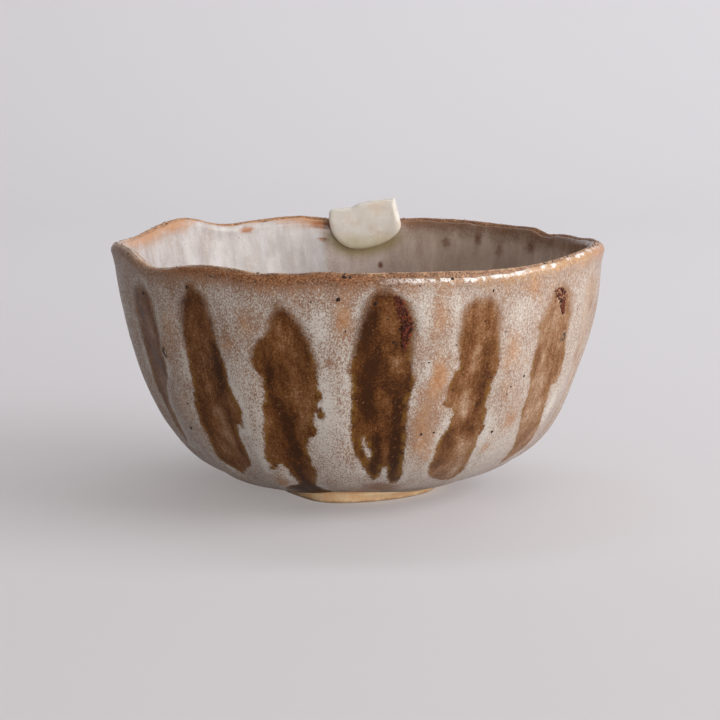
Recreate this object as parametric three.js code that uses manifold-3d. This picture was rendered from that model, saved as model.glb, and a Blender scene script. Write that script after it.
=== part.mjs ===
// A hand-pinched stoneware tea bowl: a round-bottomed clay body on a luted foot ring, glazed
// outside and inside short of its bare lip, with a porcelain tab pressed over the lip.
// Every piece is first drawn true and round, then all of them take the same hand-pressed
// unevenness, so they still fit. Millimetres, +Z up; turns are degrees from the front (-Y),
// counter-clockwise from above. The bowl stands at z = 0, centred on its own footprint.
import * as THREE from "three";
import { mergeVertices } from "three/addons/utils/BufferGeometryUtils.js";
import Module from "manifold-3d";

const { degToRad, lerp, smoothstep, euclideanModulo } = THREE.MathUtils;
const wasm = await Module();
wasm.setup();

// Wall, measured on the outside of the glaze
const LIP_RADIUS = 63.6;
const LIP_HEIGHT = 64;
const LIP_FLARE = 7.3; // lean of the upper wall, over its rise
const WALL_RISE = 59.7;
const SPRING_LENGTH = 12; // the low, wide start of the wall above the foot
const SPRING_ANGLE = 20;

// Foot ring
const FOOT_RADIUS = 22.6;
const FOOT_HEIGHT = 3;
const FOOT_WIDTH = 6.5;
const FOOT_TAPER = 0.7; // the ring narrows to the table on both sides
const FOOT_ROUND = 0.9;
const FOOT_RECESS = 0.8; // hollow of the underside inside the ring

// Clay, glaze and the seam kept between pieces
const CLAY_AT_FOOT = 6;
const CLAY_AT_LIP = 2.5;
const FLOOR_DISH = 1.3;
const GLAZE = 0.6;
const GLAZE_AT_LIP = 0.3;
const GLAZE_THINS = 0.75; // share of the wall above which the glaze runs thin
const BARE_LIP = 1.7; // both glazes stop this far below the lip
const SEAM = 0.3;

// Porcelain tab over the far lip
const TAB_TURN = 177.7;
const TAB_WIDTH = 21;
const TAB_DROP = 8; // below the crest of the lip, inside the bowl
const TAB_RISE_LEFT = 2.9; // above the crest, seen from inside the bowl
const TAB_RISE_RIGHT = 5.2;
const TAB_LEAN = 2.3; // the lowest point lies this far left of the middle
const TAB_SLANT = 1.3; // the right-hand corner lies this far in from the widest point
const TAB_DEPTH = 3.4; // into the bowl from the wall
const TAB_BEVEL = 1.1;
const TAB_SEAT = 0.3; // gap to the lip and the inside glaze

// Hand work: flutes drawn up the outside, a wavy lip and pressed fingermarks
const FLUTES = 16;
const FLUTE_DEPTH = 1.1;
const FLUTE_TURN = 5.7;
const FLUTE_RUN_IN = 13; // from the foot outwards to full depth
const FLUTE_FADES = 0.6; // share of the height above which the flutes run out
const BELLY_SHIFT = 0.55;
const BELLY_TURN = 90;
const WAVE_REACH = 24; // how far below the crest the waves of the lip are felt
// high and low spots round the lip: turn, rise
const LIP_WAVES = [
  [0, 0], [36, -0.7], [73, 1.3], [121, -1.7], [129, 0.2], [158, 0.6], [183, 0], [196, 1.2],
  [217, -0.2], [231, 2.4], [256, -0.7], [292, 1.2], [307, -1.8], [324, 0.4], [341, -0.9],
];
// fingermarks: turn, height, push outwards, spread
const FINGERMARKS = [
  [90, 31.5, -1.4, 9], [90, 10.5, 1.4, 12], [140, 40, -0.6, 16], [205, 26, -0.8, 16],
  [238, 46, 0.5, 13], [275, 20, -0.4, 12],
];

// Fineness of the drawn surfaces
const COLUMNS = 5 * FLUTES;
const WALL_STEPS = 10;
const LIP_STEPS = 4;
const FLOOR_STEPS = 3;
const TAB_STEPS = 7;
const SAME_POINT = 1e-4;

const foot = new THREE.Vector2(FOOT_RADIUS, FOOT_HEIGHT);
const spring = new THREE.Vector2(SPRING_LENGTH, 0).rotateAround(new THREE.Vector2(), degToRad(SPRING_ANGLE));
const lipRound = CLAY_AT_LIP / 2;
const lip = new THREE.Vector2(LIP_RADIUS, LIP_HEIGHT - lipRound);
const wallCurve = new THREE.CubicBezierCurve(
  foot,
  foot.clone().add(spring),
  lip.clone().sub(new THREE.Vector2(LIP_FLARE, WALL_RISE)),
  lip,
);
const glazeEnd = 1 - BARE_LIP / wallCurve.getLength();

// Layers of the wall: depth below the outside of the glaze, at a share of the way from foot to lip
const glazeAt = (share) => lerp(GLAZE, GLAZE_AT_LIP, smoothstep(share, GLAZE_THINS, 1));
const outside = () => 0;
const glazeBack = (share) => glazeAt(share);
const clayFront = (share) => glazeBack(share) + SEAM;
const clayBack = (share) => clayFront(share) + lerp(CLAY_AT_FOOT, CLAY_AT_LIP, smoothstep(share, 0, 1));
const linerBack = (share) => clayBack(share) + SEAM;
const linerFront = (share) => linerBack(share) + glazeAt(share);
const tabBack = (share) => linerFront(share) + TAB_SEAT;

function wallPoint(share, layer) {
  const along = wallCurve.getTangentAt(share);
  const inwards = new THREE.Vector2(-along.y, along.x);
  return wallCurve.getPointAt(share).addScaledVector(inwards, layer(share));
}

// A layer from the foot up to where the glaze stops, with the same stations for every layer
function wallLine(layer) {
  return Array.from({ length: WALL_STEPS + 1 }, (_, i) => wallPoint((glazeEnd * i) / WALL_STEPS, layer));
}

// A layer carried on from the foot of the wall across the floor to the middle
function floorLine(layer) {
  const edge = wallPoint(0, layer);
  const middle = new THREE.Vector2(0, edge.y - FLOOR_DISH);
  const knee = new THREE.Vector2(edge.x - FLOOR_DISH / Math.tan(degToRad(SPRING_ANGLE)), middle.y);
  return new THREE.QuadraticBezierCurve(edge, knee, middle).getPoints(FLOOR_STEPS).slice(1);
}

// The rounded crest from one face of the wall over to another
function crestLine(front, back, rise) {
  const start = wallPoint(1, front);
  const middle = start.clone().lerp(wallPoint(1, back), 0.5);
  const across = start.clone().sub(middle);
  return Array.from({ length: LIP_STEPS + 1 }, (_, i) => {
    const turn = (Math.PI * i) / LIP_STEPS;
    const up = new THREE.Vector2(0, rise * Math.sin(turn));
    return middle.clone().addScaledVector(across, Math.cos(turn)).add(up);
  });
}

const turned = (outline) =>
  new THREE.LatheGeometry(outline, COLUMNS, degToRad(FLUTE_TURN)).rotateX(Math.PI / 2);

const closed = (outline) => [...outline, outline[0]];

function solid(geometry) {
  const bare = geometry.clone();
  bare.deleteAttribute("normal");
  bare.deleteAttribute("uv");
  const merged = mergeVertices(bare, SAME_POINT);
  const triVerts = new Uint32Array(merged.index.array);
  const vertProperties = new Float32Array(merged.attributes.position.array);
  return new wasm.Manifold(new wasm.Mesh({ numProp: 3, vertProperties, triVerts }));
}

function geometryOf(manifold) {
  const { vertProperties, triVerts } = manifold.getMesh();
  return new THREE.BufferGeometry()
    .setAttribute("position", new THREE.BufferAttribute(vertProperties, 3))
    .setIndex(new THREE.BufferAttribute(triVerts, 1));
}

// Rise of the lip at a turn, eased between the listed high and low spots
function lipRise(turn) {
  const next = LIP_WAVES.findIndex(([spot]) => spot > turn);
  const [fromTurn, fromRise] = LIP_WAVES.at(next - 1);
  const [toTurn, toRise] = next < 0 ? [360 + LIP_WAVES[0][0], LIP_WAVES[0][1]] : LIP_WAVES[next];
  return lerp(fromRise, toRise, smoothstep(turn, fromTurn, toTurn));
}

// Push outwards at a turn and height, from the belly, the flutes and the fingermarks
function handPush(turn, radius, z) {
  const height = z / LIP_HEIGHT;
  const belly = BELLY_SHIFT * Math.cos(degToRad(turn - BELLY_TURN)) * Math.sin(Math.PI * Math.min(height, 1));
  const ridge = -Math.cos(degToRad((turn - FLUTE_TURN) * FLUTES)) / 2;
  const flutes = FLUTE_DEPTH * ridge * (1 - smoothstep(height, FLUTE_FADES, 1));
  const marks = FINGERMARKS.reduce((sum, [spot, level, push, spread]) => {
    const round = degToRad(euclideanModulo(turn - spot + 180, 360) - 180) * radius;
    const away = Math.hypot(round, z - level) / spread;
    return sum + push * Math.exp(-away * away);
  }, 0);
  return (belly + flutes + marks) * smoothstep(radius, FOOT_RADIUS, FOOT_RADIUS + FLUTE_RUN_IN);
}

// Press the same unevenness into any piece
function handPressed(geometry) {
  const spots = geometry.attributes.position;
  const at = new THREE.Vector3();
  for (let i = 0; i < spots.count; i++) {
    at.fromBufferAttribute(spots, i);
    const radius = Math.hypot(at.x, at.y);
    const turn = euclideanModulo(THREE.MathUtils.radToDeg(Math.atan2(at.x, -at.y)), 360);
    const scale = radius > 0 ? 1 + handPush(turn, radius, at.z) / radius : 1;
    const rise = lipRise(turn) * smoothstep(at.z, LIP_HEIGHT - WAVE_REACH, LIP_HEIGHT);
    spots.setXYZ(i, at.x * scale, at.y * scale, at.z + rise);
  }
  geometry.computeVertexNormals();
  return geometry;
}

function clayBody() {
  const hollow = FOOT_RADIUS - FOOT_WIDTH;
  const ceiling = FOOT_HEIGHT + FOOT_RECESS;
  return turned([
    new THREE.Vector2(0, ceiling),
    new THREE.Vector2(hollow - FOOT_RECESS, ceiling),
    new THREE.Vector2(hollow, FOOT_HEIGHT),
    new THREE.Vector2(FOOT_RADIUS - GLAZE - SEAM, FOOT_HEIGHT),
    ...wallLine(clayFront),
    ...crestLine(clayFront, clayBack, lipRound),
    ...wallLine(clayBack).reverse(),
    ...floorLine(clayBack),
  ]);
}

function footRing() {
  const top = FOOT_HEIGHT - SEAM;
  const hollow = FOOT_RADIUS - FOOT_WIDTH;
  const rim = FOOT_RADIUS - FOOT_TAPER;
  const bore = hollow + FOOT_TAPER;
  const worn = FOOT_ROUND * (1 - Math.SQRT1_2);
  return turned(
    closed([
      new THREE.Vector2(bore + FOOT_ROUND, 0),
      new THREE.Vector2(rim - FOOT_ROUND, 0),
      new THREE.Vector2(rim - worn, worn),
      new THREE.Vector2(rim, FOOT_ROUND),
      new THREE.Vector2(FOOT_RADIUS, top),
      new THREE.Vector2(hollow, top),
      new THREE.Vector2(bore, FOOT_ROUND),
      new THREE.Vector2(bore + worn, worn),
    ]),
  );
}

const outerGlaze = () =>
  turned(closed([...wallLine(outside), ...wallLine(glazeBack).reverse()]));

const innerGlaze = () =>
  turned([
    ...floorLine(linerBack).reverse(),
    ...wallLine(linerBack),
    ...wallLine(linerFront).reverse(),
    ...floorLine(linerFront),
  ]);

// A half-moon slab through the lip, cut away to sit over the crest and down the inside
function rimTab() {
  const half = TAB_WIDTH / 2 - TAB_BEVEL;
  const drop = TAB_DROP - TAB_BEVEL;
  const left = TAB_RISE_LEFT - TAB_BEVEL;
  const right = TAB_RISE_RIGHT - TAB_BEVEL;
  const moon = new THREE.Shape()
    .moveTo(-half, left)
    .absellipse(-TAB_LEAN, 0, half - TAB_LEAN, drop, Math.PI, 1.5 * Math.PI)
    .absellipse(-TAB_LEAN, 0, half + TAB_LEAN, drop, 1.5 * Math.PI, 2 * Math.PI)
    .lineTo(half - TAB_SLANT, right);
  const back = lip.x;
  const front = wallPoint(1, linerFront).x - TAB_DEPTH;
  const slab = new THREE.ExtrudeGeometry(moon, {
    depth: back - front - 2 * TAB_BEVEL,
    bevelSize: TAB_BEVEL,
    bevelThickness: TAB_BEVEL,
    bevelSegments: 2,
    curveSegments: TAB_STEPS,
  })
    .rotateX(Math.PI / 2)
    .translate(0, back - TAB_BEVEL, LIP_HEIGHT)
    .rotateZ(degToRad(TAB_TURN - 180));
  const beyond = LIP_RADIUS + TAB_WIDTH;
  const saddle = LIP_HEIGHT + TAB_SEAT;
  const seat = turned(
    closed([
      new THREE.Vector2(beyond, 0),
      new THREE.Vector2(beyond, saddle),
      new THREE.Vector2(wallPoint(1, tabBack).x, saddle),
      ...wallLine(tabBack).reverse(),
    ]),
  );
  return geometryOf(solid(slab).subtract(solid(seat)));
}

const bowl = new THREE.Group();
bowl.name = "tea_bowl";
for (const [name, geometry, color, roughness] of [
  ["clay_body", clayBody(), 0x9a7556, 0.8],
  ["foot_ring", footRing(), 0xb08a68, 0.85],
  ["outer_glaze", outerGlaze(), 0xcfc6b8, 0.3],
  ["inner_glaze", innerGlaze(), 0xc9c2b6, 0.3],
  ["rim_tab", rimTab(), 0xe4e0d8, 0.25],
]) {
  const material = new THREE.MeshStandardMaterial({ color, roughness, metalness: 0 });
  const piece = new THREE.Mesh(handPressed(geometry), material);
  piece.name = name;
  bowl.add(piece);
}
const middle = new THREE.Box3().setFromObject(bowl).getCenter(new THREE.Vector3());
bowl.position.set(-middle.x, -middle.y, 0);

export default bowl;
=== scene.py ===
"""A hand-pinched tea bowl on its frame: clay body, foot ring, two glaze coats and a porcelain tab."""
import math
from functools import reduce

import bmesh
import bpy
import numpy as np
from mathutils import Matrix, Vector, noise
from mathutils.bvhtree import BVHTree


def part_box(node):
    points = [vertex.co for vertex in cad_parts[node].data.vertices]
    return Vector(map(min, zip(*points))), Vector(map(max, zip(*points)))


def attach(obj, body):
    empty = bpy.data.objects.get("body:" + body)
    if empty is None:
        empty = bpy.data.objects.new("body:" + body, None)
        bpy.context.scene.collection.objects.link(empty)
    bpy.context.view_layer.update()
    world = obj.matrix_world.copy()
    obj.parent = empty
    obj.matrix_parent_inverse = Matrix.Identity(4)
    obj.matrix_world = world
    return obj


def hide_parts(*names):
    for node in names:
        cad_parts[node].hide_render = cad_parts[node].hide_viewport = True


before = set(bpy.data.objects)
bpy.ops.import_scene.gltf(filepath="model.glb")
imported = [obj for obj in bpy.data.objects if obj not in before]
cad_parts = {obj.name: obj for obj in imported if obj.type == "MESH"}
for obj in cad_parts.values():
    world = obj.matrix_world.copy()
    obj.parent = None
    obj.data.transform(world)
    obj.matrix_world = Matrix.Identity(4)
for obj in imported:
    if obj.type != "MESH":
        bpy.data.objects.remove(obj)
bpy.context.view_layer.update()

MM = 0.001

# How finely the turned pieces are drawn
COLUMNS = 640
OUTER_ROWS = 130
INNER_ROWS = 120
BACK_ROWS = 12
SKIN_STEP = 0.25  # mm along the wall between the rows of the skin that every piece is laid on

# Turns are degrees from the front, towards the right; heights are mm above the table
FLUTES = 16
FLUTE_TURN = 5.7

# Glaze, mm
BROW = 1.3  # the wall carried on above the coats before it rounds into the lip
COAT_BACK = -0.42  # back of each coat, off the skin
CLAY_UNDER = -0.46  # clay under the coats, off the skin
EDGE_ROLL = 0.16  # the coats thicken by this at their edges by the lip
ROLL_FADE = (0.8, 2.2)  # from such an edge, where this begins to fade and where it has gone
FOOT_BEAD = 0.12  # the outside coat thickens by this above the foot
BEAD_FADE = (0.5, 2.5)  # the same from its lower edge
FOOT_TUCK = 0.5  # share of the round of an edge that its lower edge has
LIP_ROUND = 0.7  # the round of the lip to either side of its crest, always bare
LIP_FINE = 5.5  # to either side of the crest, where the clay is drawn finely
LIP_SINK = (-0.3, 2.0)  # from the crest, where the clay begins to sink and where it lies under the coats
LIP_FADE = (2.5, 4.0)  # from the crest, where the bumps of the bare lip fade out
OUTER_START = 0.45  # from the foot up to the lower edge of the outside coat
FLOOR_MIDDLE = 0.4  # left round the middle of the floor for the point where the inside closes
# The round of a coat's edge: mm past the edge, mm off the face
EDGE_ROUND = [(0.28, -0.07), (0.55, -0.2), (0.72, -0.36), (0.6, -0.5), (0.3, -0.58)]

# Bare lip above the edge of each coat, mm along the wall, by turn
BARE_OUTSIDE = [
    (-180, 1.2), (-100, 0.8), (-45, 0.75), (-30, 1.0), (0, 1.4), (10, 2.0), (20, 2.2), (33, 1.6),
    (47, 0.8), (60, 0.5), (75, 0.6), (90, 1.1), (130, 1.1),
]
BARE_INSIDE = [
    (-180, 1.3), (-130, 0.9), (-100, 0.9), (-45, 1.1), (0, 1.2), (45, 1.2), (100, 1.1), (140, 1.4),
]

# The lip pressed down at the front and lifted at the right: turn, mm; it fades in between two heights
LIP_TRIM = [
    (-180, 0), (-60, 0), (-30, -0.2), (-21.5, -0.25), (-18.5, -0.7), (-15.8, -1.1), (-13, -0.95),
    (-10.5, -0.5), (-3, -0.45), (10, -0.3), (30, -0.1), (60, 0), (88, 0.1), (100, 0.5), (107, 0.5),
    (113, 0.9), (117, 0.9), (122, 0.4), (127, 0), (150, 0),
]
TRIM_HEIGHTS = (48, 62)
# The wall sunk beside the foot: turn, mm, height where this has faded out
FOOT_SAG = [
    (-180, 0, 18), (-130, 0, 18), (-100, -0.2, 18), (-78, -0.7, 18), (-58, -1.3, 18), (-40, -1.3, 18),
    (-24, -0.6, 18), (-10, 0, 14), (8, 0, 10), (22, -0.3, 8.5), (38, -0.8, 8), (55, -0.6, 8),
    (72, -0.25, 8.5), (95, -0.1, 12), (120, 0, 15),
]
SAG_FULL = 3.5  # height up to which the wall is sunk in full
# The bare lip by turn: share of thin pale glaze over it, share of tan instead of dark toasting
LIP_TONES = [
    (-180, 0, 0.35), (-165, 0, 0.8), (-150, 0.1, 0.9), (-105, 0.2, 0.8), (-92, 0.8, 0.2), (-60, 1, 0),
    (-46, 0.95, 0), (-39, 0.6, 0), (-34, 0.1, 0), (5, 0, 0.1), (15, 0.1, 0.15), (35, 0.1, 0.25),
    (60, 0.15, 0.45), (80, 0.3, 0.3), (100, 0, 0.1), (170, 0, 0.15),
]

# The tab's torn upper edge: share across from the left, mm higher than in the frame
TAB_EDGE = [(0, 2.1), (0.15, 1.55), (0.31, 1.15), (0.41, 1.7), (0.6, 1.5), (0.86, 0.95), (1, 0.3)]
TAB_CORNER = 1.0  # mm that its right corner leans in
TAB_SADDLE = 8.2  # mm from its lowest point up to the underside that lies over the lip
TAB_SETTLE = 0.5  # mm that this underside sinks towards the lip
TAB_SEAT = (0.3, 0.6)  # mm from that underside, where the sinking fades out
TAB_RAISE = (0.3, 1.4)  # mm above it, where the torn edge begins to be raised and where it is in full
TAB_LEAN = (5, 10.5)  # mm from the lowest point, the same for the corner
TAB_VOXEL = 0.28  # mm between the points that the tab is drawn with
TAB_SOFTENING = 14  # rounds of smoothing

# Edge of the foot ring on the table: turn, radius mm; its back is not seen in the photo
FOOTPRINT = [
    (-180, 21), (-110, 20.6), (-67, 20.2), (-44, 20.9), (-20, 23.2), (0, 21.8), (33, 20), (66, 20.4),
    (120, 20.8),
]
FOOT_WORN = 0.7  # mm, the round of its worn edges
FOOT_FLARE = 0.4  # mm that it is wider above the worn edge

# Near the lip, by turn: how thick the dark pepper lies, how strongly a white highlight is painted on the edge
# of the outside coat (the same share makes that edge glossy)
EDGE_LOOKS = [
    (-180, 0.3, 0), (-75, 0.1, 0), (-52, 0.25, 0), (-40, 0.8, 0), (-33, 1, 0), (3, 1, 0), (9, 0.9, 0.5),
    (14, 0.8, 1), (40, 0.5, 1), (62, 0.4, 0.9), (72, 0.3, 0.4), (85, 0.3, 0),
]

# Camera of the photo, set from the axis of the bowl
CAMERA_AT = Vector((0.0007, -0.600, 0.129))
CAMERA_DOWN = 9.06
CAMERA_LENS = 116.25

# Lamps: name, power, size, place, aim, colour
WARM, COOL = (1.0, 0.98, 0.96), (0.96, 0.98, 1.0)
LAMPS = [
    ("window_right", 9.1, (1.0, 0.6), (1.0, -0.26, 0.56), (0, 0, 0.05), WARM),
    ("low_front", 6.4, (0.9, 0.3), (0.6, -1.0, 0.14), (0, 0, 0.03), WARM),
    ("ceiling", 1.2, (1.8, 1.8), (0.35, 0.0, 1.75), (0, 0, 0), COOL),
    ("backdrop_wash", 7.2, (1.6, 0.4), (0.35, 0.45, 1.1), (0.3, 1.2, 0.15), COOL),
]
ROOM_LIGHT = {"Color": (1.0, 0.96, 0.92, 1), "Strength": 0.26}  # a little light all round
PAPER_GLOW = 0.33  # of the sweep, as the camera and reflections see it

# Brush strokes: bands of (height, left edge, right edge), edges in degrees from the middle of the flute
STROKE_BANDS = {
    "slim": [[
        (58.3, 3.5, 5.5), (57, 1, 7), (56, -1, 8), (54, -1.7, 8.4), (50, -2.5, 8.6), (47, -2.2, 8.8),
        (43, -2.7, 8.5), (41, -2.8, 7.9), (39, -2.8, 8.8), (37, -2.7, 8.8), (35, -2.9, 7.8),
        (33, -3.2, 5.8), (31, -3.5, 3.8), (29, -3.6, 2.3), (27, -3.2, 0.8), (22, -3.2, 0.3),
        (18, -4.2, -1.2), (16, -4.2, -3.2),
    ]],
    "broad": [[
        (59.5, -1.2, 0.8), (58, -2.2, 2.3), (57, -2.7, 3.3), (55, -3.7, 4.3), (50, -4.7, 5.3),
        (44, -5, 6.2), (40, -5, 7.2), (36, -5, 6.9), (34, -5.3, 7.5), (32, -5.7, 8.3), (30, -6.2, 9.1),
        (29, -6.4, 9.4), (26.5, -6.8, 8.8), (25.3, -7.1, 8.5), (24.8, -7.2, 6.2), (20, -7.2, 5.7),
        (16, -8.3, 5.6), (14.5, -8.7, 5.4), (13.5, -8.2, 4.3), (12.5, -7, 2.3), (11.5, -5.3, -0.5),
        (10.6, -4, -2.5),
    ], [
        (26, 7.3, 8.9), (25, 7.5, 8.7), (24.3, 7.8, 8.4),
    ]],
    "running": [[
        (56.2, -1.2, 0.4), (55, -1.9, 2.3), (53, -2.9, 3.8), (51, -3.2, 5), (49, -4, 5.8),
        (47, -6.2, 6.5), (45, -7.4, 6.8), (43, -7.9, 7.3), (41, -7.9, 7.8), (39.5, -7.5, 8),
        (38.6, -6.4, 7.8), (36, -6, 7.8), (34.5, -5.7, 8.1), (33.5, -6, 8.6), (32, -6.2, 7.6),
        (30.3, -7, 7.4), (29.3, -7.1, 6.2), (25.8, -7.6, 5.9), (24.8, -7.8, 6.9), (23.2, -8.4, 6.2),
        (22.6, -8.6, 4.5), (20, -9.3, 3), (18, -9.8, 2.8), (16.4, -10.2, 3.1), (15.8, -11, 3.3),
        (15, -10, 3.5),
    ], [
        (16, -10.9, -6), (14.6, -9.8, -7), (13.9, -10.2, -7.6), (13.2, -10.8, -9),
    ], [
        (17, -7, 3.2), (15, -6.5, 3.5), (14, -5.8, 4), (13, -5, 4.3), (11, -4.7, 3.6), (9, -4.4, 2.2),
        (8.2, -5.2, 1.4), (7.7, -8.6, 1.4), (7, -11.5, 1.8), (6.2, -13.5, 2.4), (5.4, -15.5, 2.8),
        (4.4, -18, 3), (3.2, -21, 2.5),
    ], [
        (30.6, 6.8, 8.2), (29.8, 6.6, 8.9), (29, 7.2, 9), (28.3, 7.3, 8.9), (27.6, 7.8, 8.4),
    ]],
    "forked": [[
        (60.6, -1.5, 0.8), (59, -3.2, 3.5), (57, -4.1, 5.8), (55, -4.7, 6.6), (53, -5.1, 7.3),
        (50, -5.7, 7.3), (47, -6.1, 6.8), (44, -6.7, 6.8), (42, -7.2, 6.9), (40, -7.7, 7.2),
        (38.8, -7.2, 7.6), (37.5, -7, 7.9), (35, -6.9, 7.1), (32, -6.9, 6.6), (28, -7.2, 6.8),
        (24, -7.2, 6.9), (22, -7.4, 7.1), (20, -6.9, 7.4), (18, -6, 7.5), (16, -4.8, 7.5),
        (14.5, -3.9, 7.7),
    ], [
        (17, -5.5, 1.8), (15, -4.2, 2), (13, -3, 1.8), (12, -2.2, 1.6), (11, -1.5, 1.3),
        (10.4, -0.7, 0.5),
    ], [
        (17, 1.5, 7.5), (15, 2.2, 7.6), (13, 3.3, 8), (12, 3.6, 8.3), (11, 4, 8.5), (10, 4.8, 8.1),
        (9.2, 5.8, 7.3),
    ]],
    "waisted": [[
        (57.4, -2, 2.6), (56.5, -3.6, 4), (55, -4.6, 4.8), (52, -5, 5.2), (50, -4.9, 5.4),
        (46, -5.2, 5.8), (44, -4.7, 6.1), (42, -4.2, 6.3), (40, -4.2, 6.5), (39, -5, 6.3), (37, -5.8, 6),
        (35.5, -6.5, 5.7), (32, -6.6, 5.3), (31, -7.3, 5.4), (30.3, -6.2, 5.5), (29.7, -4, 5.6),
        (28, -3.6, 6.1), (25.5, -4, 6.1), (24, -4.6, 6.8), (23, -5.1, 6.7), (22, -5.7, 6.2),
        (19, -6.2, 6.2), (16, -6.2, 6.5), (14, -6.2, 7.2), (12, -5.5, 7.8), (10.5, -3.5, 8.1),
        (8.5, 2, 7.5),
    ]],
    "leaning": [[
        (57.8, 0.5, 3), (57, -1.2, 4.3), (55, -2.2, 6.3), (53, -3.2, 7.1), (50, -4.4, 7.3),
        (48.2, -5.7, 7.2), (47.3, -4.4, 7.1), (44, -4.4, 7.2), (42, -4.9, 7.6), (40, -5, 8.1),
        (37, -4.7, 8.3), (34, -3.8, 8.5), (32.8, -3.3, 8.2), (31.9, -3, 5.9), (29, -3.2, 6.3),
        (27, -3.3, 6.9), (25, -2.2, 7.3), (23, -1.2, 7.9), (21, -0.2, 9.5), (19, 1, 10.3),
        (17, 2.5, 10.8), (15, 3.6, 10.8), (13, 4.2, 8.3), (11, 4.8, 5.8),
    ]],
}
BAND_END = 0.5  # mm that a band reaches past its first and last rows
# A slit left bare inside a stroke, drawn the same way
STROKE_SLITS = {
    "forked": [
        (22.4, -4.5, -4), (21, -4.3, -3.2), (19, -3.4, -1.9), (17.5, -2.8, -1.8), (16.9, -2.6, -2.2),
    ],
}
# Where a stroke's colour gathers or thins: height and offset of its top, of its bottom, half width, change
STROKE_STREAKS = {
    "slim": [
        (57, 0, 48, 1, 3, 0.1), (42, 4, 36, 5, 2.5, 0.15), (50, 4, 44, 4, 2, -0.1),
    ],
    "broad": [
        (46, 4.5, 32, 4.5, 1.6, 0.3), (33, -4.8, 20, -5, 1.6, 0.2), (30, 1.5, 13, -2, 3.5, -0.22),
        (30, 4.6, 16, 3.6, 1.3, 0.2), (57, -2.5, 52, -2.8, 1.6, 0.22), (45, 0.5, 35, 0.5, 3, -0.08),
        (28, 2, 18, 2, 3, -0.12),
    ],
    "running": [
        (42, -4.2, 31, -3.8, 1.3, 0.3), (31, -1, 7, -1.2, 2.2, 0.3), (48, 4.5, 42, 5, 1.6, 0.15),
        (30, -7, 16, -9, 2.6, -0.2), (38, 2.5, 24, 3, 3, -0.18), (53, 0, 44, 0, 3.5, -0.12),
        (8.4, -4, 3, -8, 9, 0.4),
    ],
    "forked": [
        (56, -2.8, 44, -4, 2.2, 0.25), (44, -2.5, 28, -3, 2.6, 0.28), (25, -0.5, 12, -0.3, 1.5, 0.28),
        (33, 3.8, 12, 5, 1.5, 0.3), (44, 3.2, 39, 4.5, 2, -0.28), (57, 1.5, 49, 1.5, 2, -0.2),
        (38, 3, 34, 4, 2.5, 0.15), (22, 2, 14, 2.4, 1, -0.25), (36, 0.5, 24, 0.8, 2.4, -0.16),
    ],
    "waisted": [
        (50, -2.7, 38, -2.8, 1.5, 0.24), (47, 3.3, 25, 3.2, 1.6, 0.26), (25, -3.6, 13, -4, 2, 0.24),
        (45, 0, 39, -0.3, 1.5, -0.25), (34, -0.8, 26.5, -0.5, 1.8, -0.28), (21, 3, 9, 5, 3.2, -0.22),
        (27, 1.8, 23, 2, 2, 0.2),
    ],
    "leaning": [
        (44, -3, 35, -2.6, 1.4, 0.22), (43, 5.7, 29, 4.5, 2.2, 0.2), (24, 3.5, 12, 5, 2, 0.1),
        (55, 1, 46, 1, 3, -0.1), (38, 1.5, 20, 3.5, 4, -0.14),
    ],
}
STREAK_ENDS = (-0.15, 0.2)  # share of its length over which a streak sets in at either end
# Round the bowl from the front flute towards the right: a stroke's shape, how heavy it is, -1 to mirror it.
# The photo shows the first three and the last three; the ten round the back are guessed from those.
STROKES = [
    ("forked", 0.78, 1), ("waisted", 0.5, 1), ("leaning", 0.37, 1), ("slim", 0.12, -1),
    ("broad", 0.5, 1), ("waisted", 0.5, -1), ("running", 0.55, 1), ("leaning", 0.45, -1),
    ("forked", 0.6, -1), ("slim", 0.4, 1), ("broad", 0.55, -1), ("waisted", 0.6, 1),
    ("leaning", 0.4, -1), ("slim", 0.62, 1), ("broad", 0.66, 1), ("running", 0.7, 1),
]
# Clouds between the strokes, some of them painted light: turn, height, half turn, half height, change of
# milkiness, change of blush
GLAZE_CLOUDS_AND_PAINTED_LIGHT = [
    (-25.5, 51.5, 2.2, 2.6, -0.3, 0.8), (-31, 45.5, 2.5, 2.5, -0.3, 0.6), (-29, 55, 4, 4, 0.3, -0.1),
    (-28, 36, 3.5, 8, 0.3, 0), (-29.5, 20, 3, 6, 0.4, -0.3), (-8, 51, 2.5, 5, 0.7, -0.5),
    (-7, 30, 3, 7, 0.9, -0.6), (-3, 54, 2, 5, -0.4, 0.8), (-6.3, 42.3, 0.8, 1, -0.8, 0.4),
    (-4, 22, 4, 5, -0.1, 0.2), (-9.5, 21, 2.5, 3, 0.5, -0.3), (15, 55, 1.8, 6, 0.6, -0.4),
    (16.3, 40, 1.2, 3, 0.6, -0.3), (19, 38, 2.6, 5, -0.5, 1.1), (18, 53, 2.5, 5, -0.3, 0.7),
    (17, 25, 3.5, 8, -0.5, 0.7), (20, 17, 2.5, 3, -0.2, 0.6), (22, 56, 2, 4, 0.4, 0),
    (39, 53, 2.5, 5, 0.35, -0.3), (38, 40, 3.2, 9, -0.1, 0.6), (44, 25, 3, 3, -0.3, 0.6),
    (38, 18, 1.5, 2, -0.4, 0.8), (42, 59, 4, 2.5, -0.3, 0.6), (36, 23, 2, 5, 0.4, 0),
    # The clouds at turns -49 and -50 and the broad low ones at turns 36 and -15 whiten the glaze as painted
    # light, lightening the left side and the lower wall that the lamps leave dark
    (64, 45, 4, 20, 0.08, -0.25), (60.5, 26, 2, 5, 0.65, -0.3), (-49, 50, 3.5, 9, 0.1, 0.5),
    (-50, 30, 3.5, 7, 0.2, 0.4), (9.5, 7, 5, 2, -1.2, 0), (-27, 8.5, 2, 1.5, -0.4, 0.5),
    (50, 34, 24, 40, 0.16, 0.1), (36, 15, 24, 9, 0.3, 0.0), (-15, 12, 40, 10, 0.25, 0.15),
]
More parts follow.
